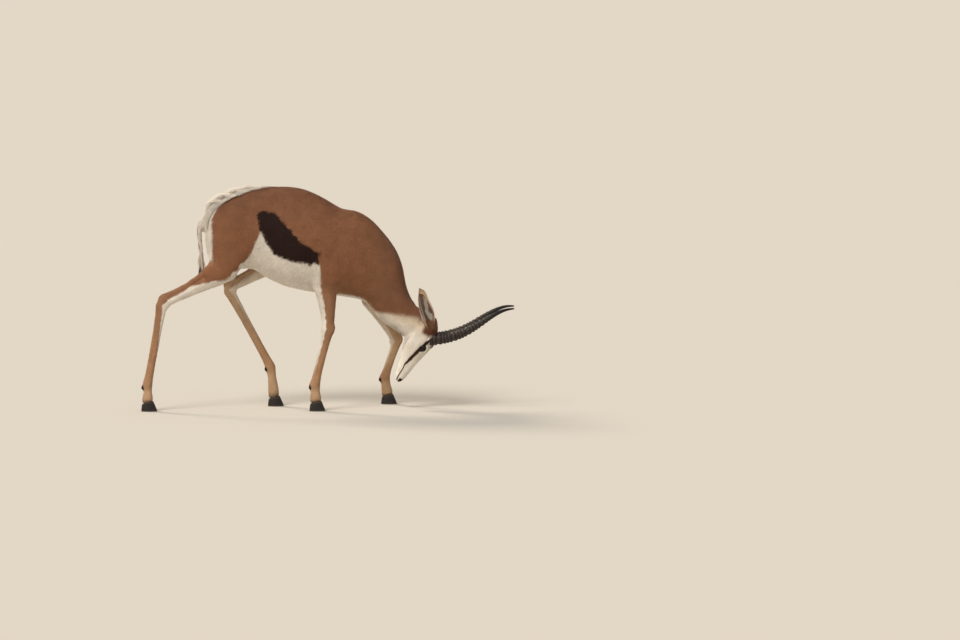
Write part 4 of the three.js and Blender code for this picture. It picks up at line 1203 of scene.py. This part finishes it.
def guide_ways(mm, parts):
    """The lie of the hair at each point, from the guides of its own part and of those next to it."""
    out = np.zeros((len(mm), 3))
    alone = (*EARS, "tail")
    body_guides = [fine_guide(GUIDES[name]) for name in PARTS if name not in alone]
    places = np.concatenate([guide[0] for guide in body_guides])
    ways = np.concatenate([guide[1] for guide in body_guides])
    for start in range(0, len(mm), AT_ONCE):
        piece = slice(start, start + AT_ONCE)
        gap = np.linalg.norm(mm[piece, None] - places[None], axis=2)
        nearest = gap.min(1, keepdims=True)
        out[piece] = np.exp(-(gap - nearest) / LIE_SOFTNESS) @ ways
    for name in alone:
        chosen = is_part(parts, name)
        if chosen.any():
            out[chosen] = on_line(mm[chosen], GUIDES[name])[2]
    return out


def along_skin(way, normal):
    """Ways turned into the skin's own plane."""
    return unit(way - normal * (way * normal).sum(1)[:, None])


def lie_of_hair(mm, normal, parts, unrest, seed):
    way = unit(guide_ways(mm, parts))
    way[:, 2] -= HANG * is_part(parts, "trunk", "neck")
    across = np.cross(normal, way)
    way = way + unit(across) * (ripple(mm, 26, seed) * unrest * 0.6)[:, None]
    random = np.random.default_rng(seed)
    way = way + random.normal(0, unrest * 0.35, way.shape)
    return along_skin(way, normal)


# %% [markdown]
# ## An unwrap of the skin for the coat
# Each tuft needs a spot on a flat picture of the skin. Every part is unrolled round its own guide
# line: along the guide one way, round it the other way, and the strips are stacked in a square.

# %% Unwrap places
PATCH = 0.003  # size of a tuft's spot in the square
STRIP = {name: (i % 2, i // 2) for i, name in enumerate(PARTS)}
STRIP_WIDTH = 0.5
STRIP_HEIGHT = 1 / 5
print("unwrap:", len(STRIP), "strips")


def unwrapped(mm, parts):
    uv = np.zeros((len(mm), 2))
    for i, name in enumerate(PARTS):
        chosen = parts == i
        if not chosen.any():
            continue
        place, _, way = on_line(mm[chosen], GUIDES[name])
        spoke = mm[chosen] - at_place(GUIDES[name], place)
        upright = np.cross(way, [0, 1, 0])
        turn = np.arctan2(spoke[:, 1], (spoke * upright).sum(1))
        column, row = STRIP[name]
        uv[chosen, 0] = STRIP_WIDTH * (column + 0.02 + 0.94 * place / (len(GUIDES[name]) - 1))
        uv[chosen, 1] = STRIP_HEIGHT * (row + 0.03 + 0.92 * (turn / (2 * math.pi) + 0.5))
    return uv


# %% [markdown]
# ## Making tufts
# A tuft is a narrow blade with a raised middle line that starts under the skin, bends up and over
# along the lie, and ends in a point. All tufts of one area are built at once as number arrays and
# become one mesh. Their shading normals lean to those of the skin, so the coat takes the light as
# one soft surface with fine hair in it and not as a heap of chips.

# %% Shape of a tuft
TIP_SHADE = 1.07  # painted light along a tuft: its tip is painted this much lighter than its own colour, its root darker as painted shade


def tuft_width(share):
    """Half width at a share of the length: widest a little above the root, then tapered."""
    return 0.8 + 0.5 * share if share < 0.5 else 1.35 * (1 - share) ** 0.7


def tuft_corners(roots, normal, way, length, width, lift, colours, rows, sink, curl, root_shade, ridge_share):
    """Corners, leaning normals and colours of all blades, row by row from the root to the tip, the colours
    with painted shade from a darker root to a lighter tip.
    """
    across = unit(np.cross(way, normal))
    corners = np.zeros((len(roots), rows * 3 + 1, 3))
    leaning = np.zeros_like(corners)
    shaded_tint = np.zeros_like(corners)
    for k, share in enumerate(np.linspace(0, 1, rows + 1)):
        rise = lift * (1.75 * share - 0.75 * share ** 2) - sink * (1 - share) + curl * share * (1 - share)
        middle = roots + way * (length * share)[:, None] + normal * rise[:, None]
        # Painted shade: each tuft is painted darker at its root, where it lies under the coat, and lighter
        # towards its tip.
        shade = root_shade + (TIP_SHADE - root_shade) * share
        if k == rows:
            corners[:, -1], leaning[:, -1], shaded_tint[:, -1] = middle, normal + way * 0.25, colours * shade
            continue
        half = width / 2 * tuft_width(share)
        ridge = normal * (half * ridge_share)[:, None]
        for m, offset in enumerate((-1, 0, 1)):
            corners[:, k * 3 + m] = middle + across * (half * offset)[:, None] + ridge * (1 - abs(offset))
            leaning[:, k * 3 + m] = normal + across * offset * 0.35
            shaded_tint[:, k * 3 + m] = colours * shade
    return corners, unit(leaning), np.clip(shaded_tint, 0, 1)


def tuft_faces(rows):
    """The faces of one blade as corner numbers: two strips of squares, closed by two triangles."""
    starts = [k * 3 + m for k in range(rows - 1) for m in range(2)]
    top, tip = (rows - 1) * 3, rows * 3
    return [(a, a + 1, a + 4, a + 3) for a in starts] + [(top, top + 1, tip), (top + 1, top + 2, tip)]


def tuft_spots(rows):
    """Where the corners of one blade lie in its spot of the unwrap, from 0 to 1."""
    shares = np.linspace(0, 1, rows + 1)
    return np.array([(m / 2, shares[k]) for k in range(rows) for m in range(3)] + [(0.5, 1)])


# %% Tufts as one mesh
def tuft_piece(name, roots, normal, way, length, width, lift, colours, uv,
               rows=2, slot="coat", sink=0.0012, curl=0.0, root_shade=0.84, ridge_share=0.3):
    """A mesh of tapered blades. length, width and lift (rise of the tip) are in metres for each."""
    shapes = (roots, normal, way, length, width, lift, colours)
    corners, leaning, shaded_tint = tuft_corners(*shapes, rows, sink, curl, root_shade, ridge_share)
    faces = tuft_faces(rows)
    loops = np.concatenate(faces)
    count, per = corners.shape[:2]
    mesh = bpy.data.meshes.new(name)
    mesh.vertices.add(count * per)
    mesh.vertices.foreach_set("co", corners.astype(np.float32).ravel())
    mesh.loops.add(count * len(loops))
    loop_points = (np.arange(count)[:, None] * per + loops).ravel()
    mesh.loops.foreach_set("vertex_index", loop_points.astype(np.int32))
    mesh.polygons.add(count * len(faces))
    sizes = np.tile([len(face) for face in faces], count)
    starts = np.concatenate([[0], np.cumsum(sizes)[:-1]])
    mesh.polygons.foreach_set("loop_start", starts.astype(np.int32))
    mesh.update(calc_edges=True)
    layer = mesh.uv_layers.new(name="OFBake")
    loop_uv = (uv[:, None] + (tuft_spots(rows)[loops] - 0.5)[None] * PATCH).reshape(-1, 2)
    layer.data.foreach_set("uv", loop_uv.astype(np.float32).ravel())
    set_colours(mesh, "coat_colour", shaded_tint.reshape(-1, 3))
    mesh.shade_smooth()
    mesh.normals_split_custom_set_from_vertices(leaning.reshape(-1, 3).astype(np.float32))
    mesh.materials.append(tuft_material)
    piece = placed(name, mesh)
    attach(piece, "root")
    print(f"{name}: {count} tufts, {count * (len(faces) * 2 - 2)} triangles")
    return piece


# %% [markdown]
# ## The short coat
# On the trunk the hair is about 12 mm long and lies flat, on the shins and the face only a few
# millimetres. The lips, nose, lids and the inside of the ears stay bare enough to show their form.

# %% Short coat, area by area
COAT_AREAS = [
    # name, parts, spacing, length, width, lift (mm), painted shade at the root, slot
    ("coat_croup", ("trunk",), 2.4, 12.0, 2.5, 2.0, 0.84, "coat"),
    ("coat_flank", ("trunk",), 2.4, 12.0, 2.5, 2.0, 0.84, "coat"),
    ("coat_ribs", ("trunk",), 2.4, 12.0, 2.5, 2.0, 0.84, "coat"),
    ("coat_shoulder", ("trunk",), 2.4, 12.0, 2.5, 2.0, 0.84, "coat"),
    ("coat_neck", ("neck",), 2.3, 10.0, 2.4, 1.8, 0.85, "coat"),
    ("coat_hind_legs", ("leg_hind_right", "leg_hind_left"), 2.3, 8.0, 2.2, 0.9, 0.93, "leg_coat"),
    ("coat_fore_legs", ("leg_fore_right", "leg_fore_left"), 2.1, 7.0, 2.0, 0.8, 0.93, "leg_coat"),
    ("coat_head", ("head",), 1.6, 4.6, 1.4, 0.4, 0.94, "face_coat"),
    ("coat_ears", ("ear_right", "ear_left"), 1.9, 4.6, 1.3, 0.3, 0.92, "face_coat"),
    ("coat_tail", ("tail",), 2.3, 14.0, 2.2, 1.8, 0.86, "tail_hair"),
]
TRUNK_PIECES = {  # from and to x, so that no mesh of the trunk's coat grows too large
    "coat_croup": (-400.0, -170.0), "coat_flank": (-170.0, -30.0),
    "coat_ribs": (-30.0, 110.0), "coat_shoulder": (110.0, 400.0),
}


# %% Bare places, and the size of tufts
def bare(mm, parts):
    """Places without tufts: nose, lids, lips, mouth, nostrils and dewclaws."""
    s, d, y = head_measures(mm)
    head = is_part(parts, "head")
    nose = (s > 212) & (d > -17)
    lips = (s > MOUTH_CORNER[0] - 6) & (np.abs(d - mouth_level(s)) < 4.5)
    lids = (lid_edge(mm) < 4.0) & (from_eye(s, d) < EYE_ZONE) & (np.abs(y) > 24)
    on_dewclaw = np.any([from_dewclaws(mm, name) < 1.0 for name in LEG_JOINTS], axis=0)
    return (head & (nose | lips | lids)) | (on_dewclaw & ~head)


def size_by_place(name, mm, normals, parts):
    """Tufts are smaller towards the feet, the nose, the eyes and the tips of the ears."""
    size = np.ones(len(mm))
    if name.endswith("legs"):
        for leg, joints in LEG_JOINTS.items():
            chosen = is_part(parts, "leg_" + leg)
            place = on_line(mm[chosen], joints)[0]
            size[chosen] = np.interp(place, [0.8, 2.0, 3.0, 4.0], [1.45, 0.85, 0.7, 0.8])
    if name == "coat_head":
        s, d, y = head_measures(mm)
        size = np.interp(s, [-20, 20, 110, 225], [1.8, 1.2, 0.8, 0.6])
        size *= np.where(from_eye(s, d) < EYE_ZONE, 0.65, 1.0)
    if name == "coat_ears":
        share, inside, _ = ear_measures(mm, normals)
        size = np.interp(share, [0.0, 0.2, 0.7, 1.0], [1.6, 1.0, 0.7, 0.35]) * (1 - 0.5 * inside)
    return size


def near_horns(mm, way):
    """Turns the lie towards the horns close to their bases, and says how close each point is."""
    closest = np.zeros(len(mm))
    for side in (-1, 1):
        distance, axis = from_horn(mm, side)
        close = smoothstep(34, 24, distance)
        way = way + axis * (close * 1.6)[:, None]
        closest = np.maximum(closest, close)
    return way, closest


# %% Grow the short coat
coat_count = 0
for number, (name, grown, spacing, length, width, lift, root_shade, slot) in enumerate(COAT_AREAS):
    allowed = is_part(triangle_parts, *grown)
    if name in TRUNK_PIECES:
        low, high = TRUNK_PIECES[name]
        allowed &= (skin_mm[triangles[:, 0], 0] > low) & (skin_mm[triangles[:, 0], 0] <= high)
    roots, root_normals, root_parts = scatter(allowed, spacing / 1000, 100 + number)
    keep = ~bare(drawn(roots), root_parts)
    roots, root_normals, root_parts = only(keep, roots, root_normals, root_parts)
    root_mm = drawn(roots)
    way = lie_of_hair(root_mm, root_normals, root_parts, 0.35 if lift > 0.6 else 0.2, 200 + number)
    random = np.random.default_rng(300 + number)
    size = random.uniform(0.75, 1.2, len(roots)) * size_by_place(name, root_mm, root_normals, root_parts)
    rise = lift / 1000 * size
    if name == "coat_head":
        way, close = near_horns(root_mm, way)
        way = along_skin(way, root_normals)
        size *= 1 + 0.5 * close
        rise += 0.0022 * close
    colours = coat_colour(root_mm, root_normals, root_parts) * random.uniform(0.88, 1.1, (len(roots), 1))
    tuft_piece(
        name, roots, root_normals, way, length / 1000 * size, width / 1000 * np.sqrt(size), rise,
        colours, unwrapped(root_mm, root_parts), slot=slot, sink=min(0.0012, lift / 1000),
        root_shade=root_shade, ridge_share=0.3 if root_shade < 0.9 else 0.14)
    coat_count += len(roots)
print("short coat:", coat_count, "tufts")

# %% [markdown]
# ## White hair in the ears
# Inside the cup an antelope's ear is almost bare skin with a few rows of long white hair along it.
# Tufts grow only on those rows, longer than the rest of the face's hair, and lie along the ear.

# %% Rows of hair in the ears
EAR_HAIR = (0.012, 0.0013, 0.0022)  # length, width and lift in metres

roots, root_normals, root_parts = scatter(is_part(triangle_parts, *EARS), 0.0014, 521)
share, inside, rows = ear_measures(drawn(roots), root_normals)
keep = (inside > 0.5) & (rows > 0.45) & (share < 0.78)
roots, root_normals, root_parts, share = only(keep, roots, root_normals, root_parts, share)
root_mm = drawn(roots)
random = np.random.default_rng(522)
way = lie_of_hair(root_mm, root_normals, root_parts, 0.3, 523)
size = random.uniform(0.6, 1.1, len(roots)) * np.interp(share, [0.1, 0.4, 0.78], [1.1, 1.0, 0.6])
tuft_piece(
    "ear_hair", roots, root_normals, way, *(measure * size for measure in EAR_HAIR),
    all_over(WHITE_HAIR, roots) * random.uniform(0.85, 1.05, (len(roots), 1)),
    unwrapped(root_mm, root_parts), slot="face_coat", sink=0.0006, root_shade=0.85)

# %% [markdown]
# ## Long hair
# From the loins to the tail a springbok has a fold of long white hair along its back, raised when
# it is roused, as here. The tail is a thin white rope with a black tuft. These are longer tufts of
# more rows, so that they bend, with their roots along a band of the back or round the tail.

# %% Crest
CREST_LENGTH = 40.0  # mm
CREST_LIFT = 15.0
CREST_WIDTH = 2.1
CREST_CURL = 4.0
CREST_HALF = 46.0  # half width of the band that it grows on, at its widest

first_x, first_z = skin_mm[triangles[:, 0], 0], skin_mm[triangles[:, 0], 2]
on_croup = is_part(triangle_parts, "trunk") & (first_x < -80) & (first_z > 640)
roots, root_normals, root_parts = scatter(on_croup, 0.0021, 501)
root_mm = drawn(roots)
crest_half = np.interp(root_mm[:, 0], [-330, -300, -220, -150, -85], [CREST_HALF, 44, 36, 26, 4])
keep = (np.abs(root_mm[:, 1]) < crest_half) & (root_normals[:, 2] > 0.1)
roots, root_normals, root_parts, root_mm = only(keep, roots, root_normals, root_parts, root_mm)
way = lie_of_hair(root_mm, root_normals, root_parts, 0.45, 502)
aside = np.sign(root_mm[:, 1]) * 0.2
way = unit(way + np.stack([np.zeros(len(roots)), aside, np.zeros(len(roots))], 1))
random = np.random.default_rng(503)
middle = 1 - 0.5 * (np.abs(root_mm[:, 1]) / CREST_HALF)
along_back = np.interp(root_mm[:, 0], [-330, -290, -200, -120, -85], [0.75, 1.0, 0.9, 0.5, 0.25])
size = random.uniform(0.6, 1.1, len(roots)) * middle * along_back
crest_colour = coat_colour(root_mm, root_normals, root_parts)
crest_colour = blend(crest_colour, WHITE_HAIR, smoothstep(-95, -140, root_mm[:, 0]))
crest_colour = crest_colour * random.uniform(0.88, 1.08, (len(roots), 1))
tuft_piece(
    "crest", roots, root_normals, way,
    CREST_LENGTH / 1000 * size, CREST_WIDTH / 1000 * np.sqrt(size), CREST_LIFT / 1000 * size,
    crest_colour, unwrapped(root_mm, root_parts), rows=4, slot="coat", curl=CREST_CURL / 1000, root_shade=0.9)

# %% Tail tuft
TUFT_FROM = 560.0  # z below which the tail has its long hair
TUFT_END = 436.0  # z that its tips don't pass
TUFT_LENGTH = 46.0

low_tail = is_part(triangle_parts, "tail") & (first_z < TUFT_FROM)
roots, root_normals, root_parts = scatter(low_tail, 0.0017, 511)
root_mm = drawn(roots)
random = np.random.default_rng(512)
sway = [random.normal(0, 0.10, len(roots)), random.normal(0, 0.10, len(roots))]
down = unit(np.stack([*sway, -np.ones(len(roots))], 1))
root_normals = unit(root_normals * [1, 1, 0.0] + 1e-6)
size = random.uniform(0.6, 1.0, len(roots))
reach = np.minimum(TUFT_LENGTH * size, np.maximum(root_mm[:, 2] - TUFT_END, 12))
tuft_piece(
    "tail_tuft", roots, root_normals, down, reach / 1000, 0.0022 * np.ones(len(roots)), 0.0045 * size,
    coat_colour(root_mm, root_normals, root_parts) * random.uniform(0.85, 1.15, (len(roots), 1)),
    unwrapped(root_mm, root_parts), rows=3, slot="tail_hair")

# %% [markdown]
# ## Eyes
# An antelope's eye is large, dark brown and wet, with a long level pupil. The ball is a fine
# sphere whose front bulges a little as the cornea. Pupil, iris and edge are painted by their
# distance from the eye's axis, and a fine noise gives the iris its fibres.

# %% Eyeballs
IRIS_BROWN = paint("22120a")
EYE_EDGE = paint("120a07")
PUPIL_BLACK = paint("030202")
PUPIL_HALF = (0.0068, 0.0030)  # a long pupil that stays level when the head is lowered
IRIS_RADIUS = 0.0135
EYE_GAP = 0.0002  # metres that the ball is smaller than its solid
LOOKS_AHEAD = 0.12  # how much an eye is turned towards the nose
CORNEA = 0.045  # how much its front bulges, as a share of its radius

wet_eye = painted_material("wet_eye", 0.1, 0.28, "eye_colour", (900.0, 2.0, 0.8, 1.2))[0]
for side_name, side in (("right", -1), ("left", 1)):
    ball = bmesh.new()
    bmesh.ops.create_uvsphere(ball, u_segments=64, v_segments=40, radius=EYE_RADIUS / 1000 - EYE_GAP)
    mesh = bpy.data.meshes.new("eyeball_" + side_name)
    ball.to_mesh(mesh)
    ball.free()
    local = read_points(mesh)
    outwards = unit(np.array([LOOKS_AHEAD * NOSE_WAY[0], side, LOOKS_AHEAD * NOSE_WAY[1]]))
    local *= (1 + CORNEA * smoothstep(0.55, 0.95, unit(local) @ outwards))[:, None]
    pupil = smoothstep(1.08, 0.92, np.hypot(local[:, 0] / PUPIL_HALF[0], local[:, 2] / PUPIL_HALF[1]))
    iris = smoothstep(IRIS_RADIUS, IRIS_RADIUS - 0.002, np.hypot(local @ NOSE_AXIS, local @ BROW_AXIS))
    colour = blend(all_over(EYE_EDGE, local), IRIS_BROWN, iris)
    colour = blend(colour, PUPIL_BLACK, pupil * (local @ outwards > 0))
    set_colours(mesh, "eye_colour", colour)
    write_points(mesh, local + metres(head_mm(EYE[0], EYE[1], EYE[2] * side)))
    mesh.shade_smooth()
    mesh.materials.append(wet_eye)
    eyeball = placed("eyeball_" + side_name, mesh)
    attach(eyeball, "root")
    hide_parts("eye_" + side_name)
print("eyes at", np.round(metres(head_mm(*EYE)), 3))

# %% [markdown]
# ## Horns
# A ram's horns are nearly black, stand close together, sweep up and back, spread and then hook in.
# Rings stand out on the front of the lower two thirds, and the tip is smooth. The tube is built
# again on the solid's own path with many more rows, so the rings get their rounded ridges.

# %% Path and ridges of a horn
HORN_LENGTH = 350.0
HORN_SUNK = 12.0  # how deep in the head the drawn path starts
HORN_STEM = 18.0  # how much deeper the stem goes, to hide its end
HORN_RADIUS = (20.0, 3.2)
HORN_TAPER = 1.25  # more than 1 keeps the horn stout for longer
HORN_FLAT = 0.9  # width across, as a share of the depth from front to back
HORN_LEAN = [122, 128, 138, 148, 150, 140, 118]
HORN_SPLAY = [14, 20, 22, 16, 2, -18, -34]
HORN_RINGS = 24
RINGED_SHARE = 0.74
HORN_STEPS = 420
HORN_SIDES = 48
RING_HEIGHT = 3.6
RING_SHIFT = (0.35, 0.18, 37)  # rings: first place, unevenness, and how often that comes
GROOVE_DEPTH = 0.16
HORN_BLACK = paint("100d0b")
RING_GREY = paint("352b25")


def curve_value(values, t):
    """A value of an evenly spaced list at a share t, on a smooth curve through the list."""
    place = np.clip(t, 0, 1) * (len(values) - 1)
    i = np.minimum(place.astype(int), len(values) - 2)
    u = place - i
    padded = np.array([values[0]] + list(values) + [values[-1]], float)
    a, b, c, d = (padded[i + k] for k in range(4))
    square, cube = 2 * a - 5 * b + 4 * c - d, 3 * b - a - 3 * c + d
    return 0.5 * (2 * b + (c - a) * u + square * u ** 2 + cube * u ** 3)


def horn_path(t, side):
    """Points and ways along the middle of a horn, from its stem inside the head."""
    way = head_way(np.radians(curve_value(HORN_LEAN, t)), np.radians(curve_value(HORN_SPLAY, t)), side)
    start = head_mm(HORN_ROOT[0], HORN_ROOT[1] - HORN_SUNK, HORN_ROOT[2] * side)
    steps = way * HORN_LENGTH / HORN_STEPS
    path = start + np.vstack([np.zeros(3), np.cumsum(steps, 0)[:-1]])
    path[0] -= way[0] * HORN_STEM
    return path, way


# %% Rings and grooves of a horn
def horn_rings(t, side):
    """How much of a ring there is at each place: its height from 0 to 1, and its fading out."""
    first, uneven, often = RING_SHIFT
    ring_place = t * HORN_RINGS - first + uneven * np.sin(t * often + side)
    phase = ring_place - np.floor(ring_place)
    height = smoothstep(0.0, 0.55, phase) * smoothstep(1.0, 0.72, phase)
    fade = smoothstep(RINGED_SHARE + 0.08, RINGED_SHARE - 0.12, t) * smoothstep(0.0, 0.05, t)
    return height, fade


def horn_ridges(t, angle, side, radius):
    """Millimetres that rings and fine grooves add to the horn's radius."""
    height, fade = horn_rings(t, side)
    front = 0.5 + 0.5 * np.cos(angle - math.pi / 2) ** 2
    slimmer = (radius / HORN_RADIUS[0])[:, None] ** 0.6
    ridge = (height - 0.4)[:, None] * fade[:, None] * front[None] * RING_HEIGHT * slimmer
    grooves = np.sin(angle * 13 + 2.5 * np.sin(t * 5)[:, None])
    grooves = grooves + 0.6 * np.sin(angle * 23 - 3 * np.cos(t * 7)[:, None])
    return ridge + GROOVE_DEPTH * grooves * smoothstep(0.0, 0.3, t)[:, None] * (radius / 20)[:, None]


# %% Ringed horns
def horn_mesh(side):
    t = np.linspace(0, 1, HORN_STEPS + 1)
    angle = np.linspace(0, 2 * math.pi, HORN_SIDES, endpoint=False)
    path, way = horn_path(t, side)
    radius = HORN_RADIUS[0] + (HORN_RADIUS[1] - HORN_RADIUS[0]) * t ** HORN_TAPER
    radius[0] *= 0.8
    outward = unit(np.array([0, 1, 0]) - way * way[:, 1:2])
    across = np.cross(way, outward)
    reach = radius[:, None] + horn_ridges(t, angle, side, radius) - 0.2
    rings = path[:, None] + outward[:, None] * (np.cos(angle)[None] * reach * HORN_FLAT)[:, :, None]
    rings = rings + across[:, None] * (np.sin(angle)[None] * reach)[:, :, None]
    tip = path[-1] + way[-1] * HORN_RADIUS[1] * 1.8
    corners = np.vstack([rings.reshape(-1, 3), path[:1], tip[None]])
    faces = []
    for r in range(HORN_STEPS):
        for k in range(HORN_SIDES):
            a, b = r * HORN_SIDES + k, r * HORN_SIDES + (k + 1) % HORN_SIDES
            faces.append((a, b, b + HORN_SIDES, a + HORN_SIDES))
    base, top = len(corners) - 2, len(corners) - 1
    last = HORN_STEPS * HORN_SIDES
    for k in range(HORN_SIDES):
        n = (k + 1) % HORN_SIDES
        faces += [(base, n, k), (top, last + k, last + n)]
    mesh = bpy.data.meshes.new("horn")
    mesh.from_pydata(((corners + SHIFT) / 1000).tolist(), [], faces)
    height, fade = horn_rings(t, side)
    shades = np.concatenate([np.repeat(height * fade, HORN_SIDES), [0, 0]])
    set_colours(mesh, "horn_colour", blend(all_over(HORN_BLACK, corners), RING_GREY, shades))
    tidy = bmesh.new()
    tidy.from_mesh(mesh)
    bmesh.ops.recalc_face_normals(tidy, faces=tidy.faces)
    tidy.to_mesh(mesh)
    tidy.free()
    mesh.shade_smooth()
    return mesh


# %% Both horns
ringed_horn, horn_tree, horn_shader, grain = painted_material(
    "ringed_horn", 0.5, 0.35, "horn_colour", (160.0, 5.0, 0.7, 1.5))
add_bump(horn_tree, horn_shader, grain, 0.35, 0.001)
for side_name, side in (("right", -1), ("left", 1)):
    mesh = horn_mesh(side)
    mesh.materials.append(ringed_horn)
    horn = placed("ringed_horn_" + side_name, mesh)
    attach(horn, "root")
    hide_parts("horn_" + side_name)
print("horns:", HORN_RINGS, "rings over", RINGED_SHARE * HORN_LENGTH, "mm")

# %% [markdown]
# ## Hooves
# Each foot stands on two narrow pointed claws of black horn with flat soles. The solids already
# have the right shape, so a finer copy is rounded by subdivision, its sole is kept flat on the
# ground, and fine growth lines run round its wall.

# %% Claws
CLAW_BLACK = paint("1d1713")
WORN_HORN = paint("6b5a4a")  # the scuffed edge of the sole
CORONET = paint("3b2f27")  # the younger horn under the hair line
SOLE = 0.0016  # metres above the ground that are pressed flat
WORN_TO = 0.006
CORONET_FROM = (0.027, 0.033)

hoof_horn, hoof_tree, hoof_shader, _ = painted_material(
    "hoof_horn", 0.38, 0.5, "claw_colour", (140.0, 4.0, 0.7, 1.4))
growth = add_node(hoof_tree, "ShaderNodeTexWave", Scale=95.0, Distortion=1.5, Detail=2.0)
growth.bands_direction = "Z"
hoof_place = add_node(hoof_tree, "ShaderNodeTexCoord")
hoof_tree.links.new(hoof_place.outputs["Object"], growth.inputs["Vector"])
add_bump(hoof_tree, hoof_shader, growth.outputs["Fac"], 0.25, 0.0006)
claws = [name for name in frame["nodes"] if name.startswith("claw")]
for name in claws:
    rough = puffed_copy([name], 0.0)
    mesh = with_modifiers(rough, ("BEVEL", {"width": 0.0012, "segments": 2}), ("SUBSURF", {"levels": 2}))
    local = read_points(mesh)
    local[local[:, 2] < SOLE, 2] = 0.0
    write_points(mesh, local)
    worn = smoothstep(WORN_TO, 0.0, local[:, 2])
    tone = blend(all_over(CLAW_BLACK, local), WORN_HORN, worn * 0.5)
    set_colours(mesh, "claw_colour", blend(tone, CORONET, smoothstep(*CORONET_FROM, local[:, 2])))
    mesh.materials.clear()
    mesh.materials.append(hoof_horn)
    mesh.shade_smooth()
    claw = placed("hoof_" + name, mesh)
    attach(claw, "root")
    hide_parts(name)
print(len(claws), "claws")

# %% [markdown]
# ## Floor and light
# A plain pale floor and soft studio light: an even bright sky, a large soft key from the front
# left above, and a weaker warm light from behind that draws the outline of back and legs.

# %% Floor
FLOOR_COLOUR = paint("cbc6bd")
FLOOR_HALF = 150  # metres, far past the horizon of the picture

corners = [(x * FLOOR_HALF, y * FLOOR_HALF, 0) for x, y in ((-1, -1), (1, -1), (1, 1), (-1, 1))]
floor_mesh = bpy.data.meshes.new("floor")
floor_mesh.from_pydata(corners, [], [(0, 1, 2, 3)])
floor_material, _, floor_shader = fresh_material("studio_floor", 0.9)
floor_shader.inputs["Base Color"].default_value = (*FLOOR_COLOUR, 1)
floor_shader.inputs["Specular IOR Level"].default_value = 0.1
floor_mesh.materials.append(floor_material)
floor = placed("floor", floor_mesh)
print("floor:", 2 * FLOOR_HALF, "m wide")

# %% Light
SKY_COLOUR = (1.0, 0.97, 0.93, 1)
SKY_STRENGTH = 0.42


def sun(name, direction, strength, softness, colour):
    data = bpy.data.lights.new(name, "SUN")
    data.energy = strength
    data.angle = math.radians(softness)
    data.color = colour
    lamp = placed(name, data)
    x, y, z = direction
    lamp.rotation_euler = (math.atan2(math.hypot(x, y), z), 0, math.atan2(y, x) + math.pi / 2)


sun("key", (-0.45, -0.7, 0.85), 2.2, 25, (1.0, 0.96, 0.9))
sun("rim", (-0.8, 0.7, 0.75), 2.0, 18, (1.0, 0.86, 0.7))
world = bpy.data.worlds.new("studio")
world.use_nodes = True
background = world.node_tree.nodes["Background"]
background.inputs["Color"].default_value = SKY_COLOUR
background.inputs["Strength"].default_value = SKY_STRENGTH
bpy.context.scene.world = world
bpy.context.scene.view_settings.view_transform = "Standard"
print("two suns and a pale sky")
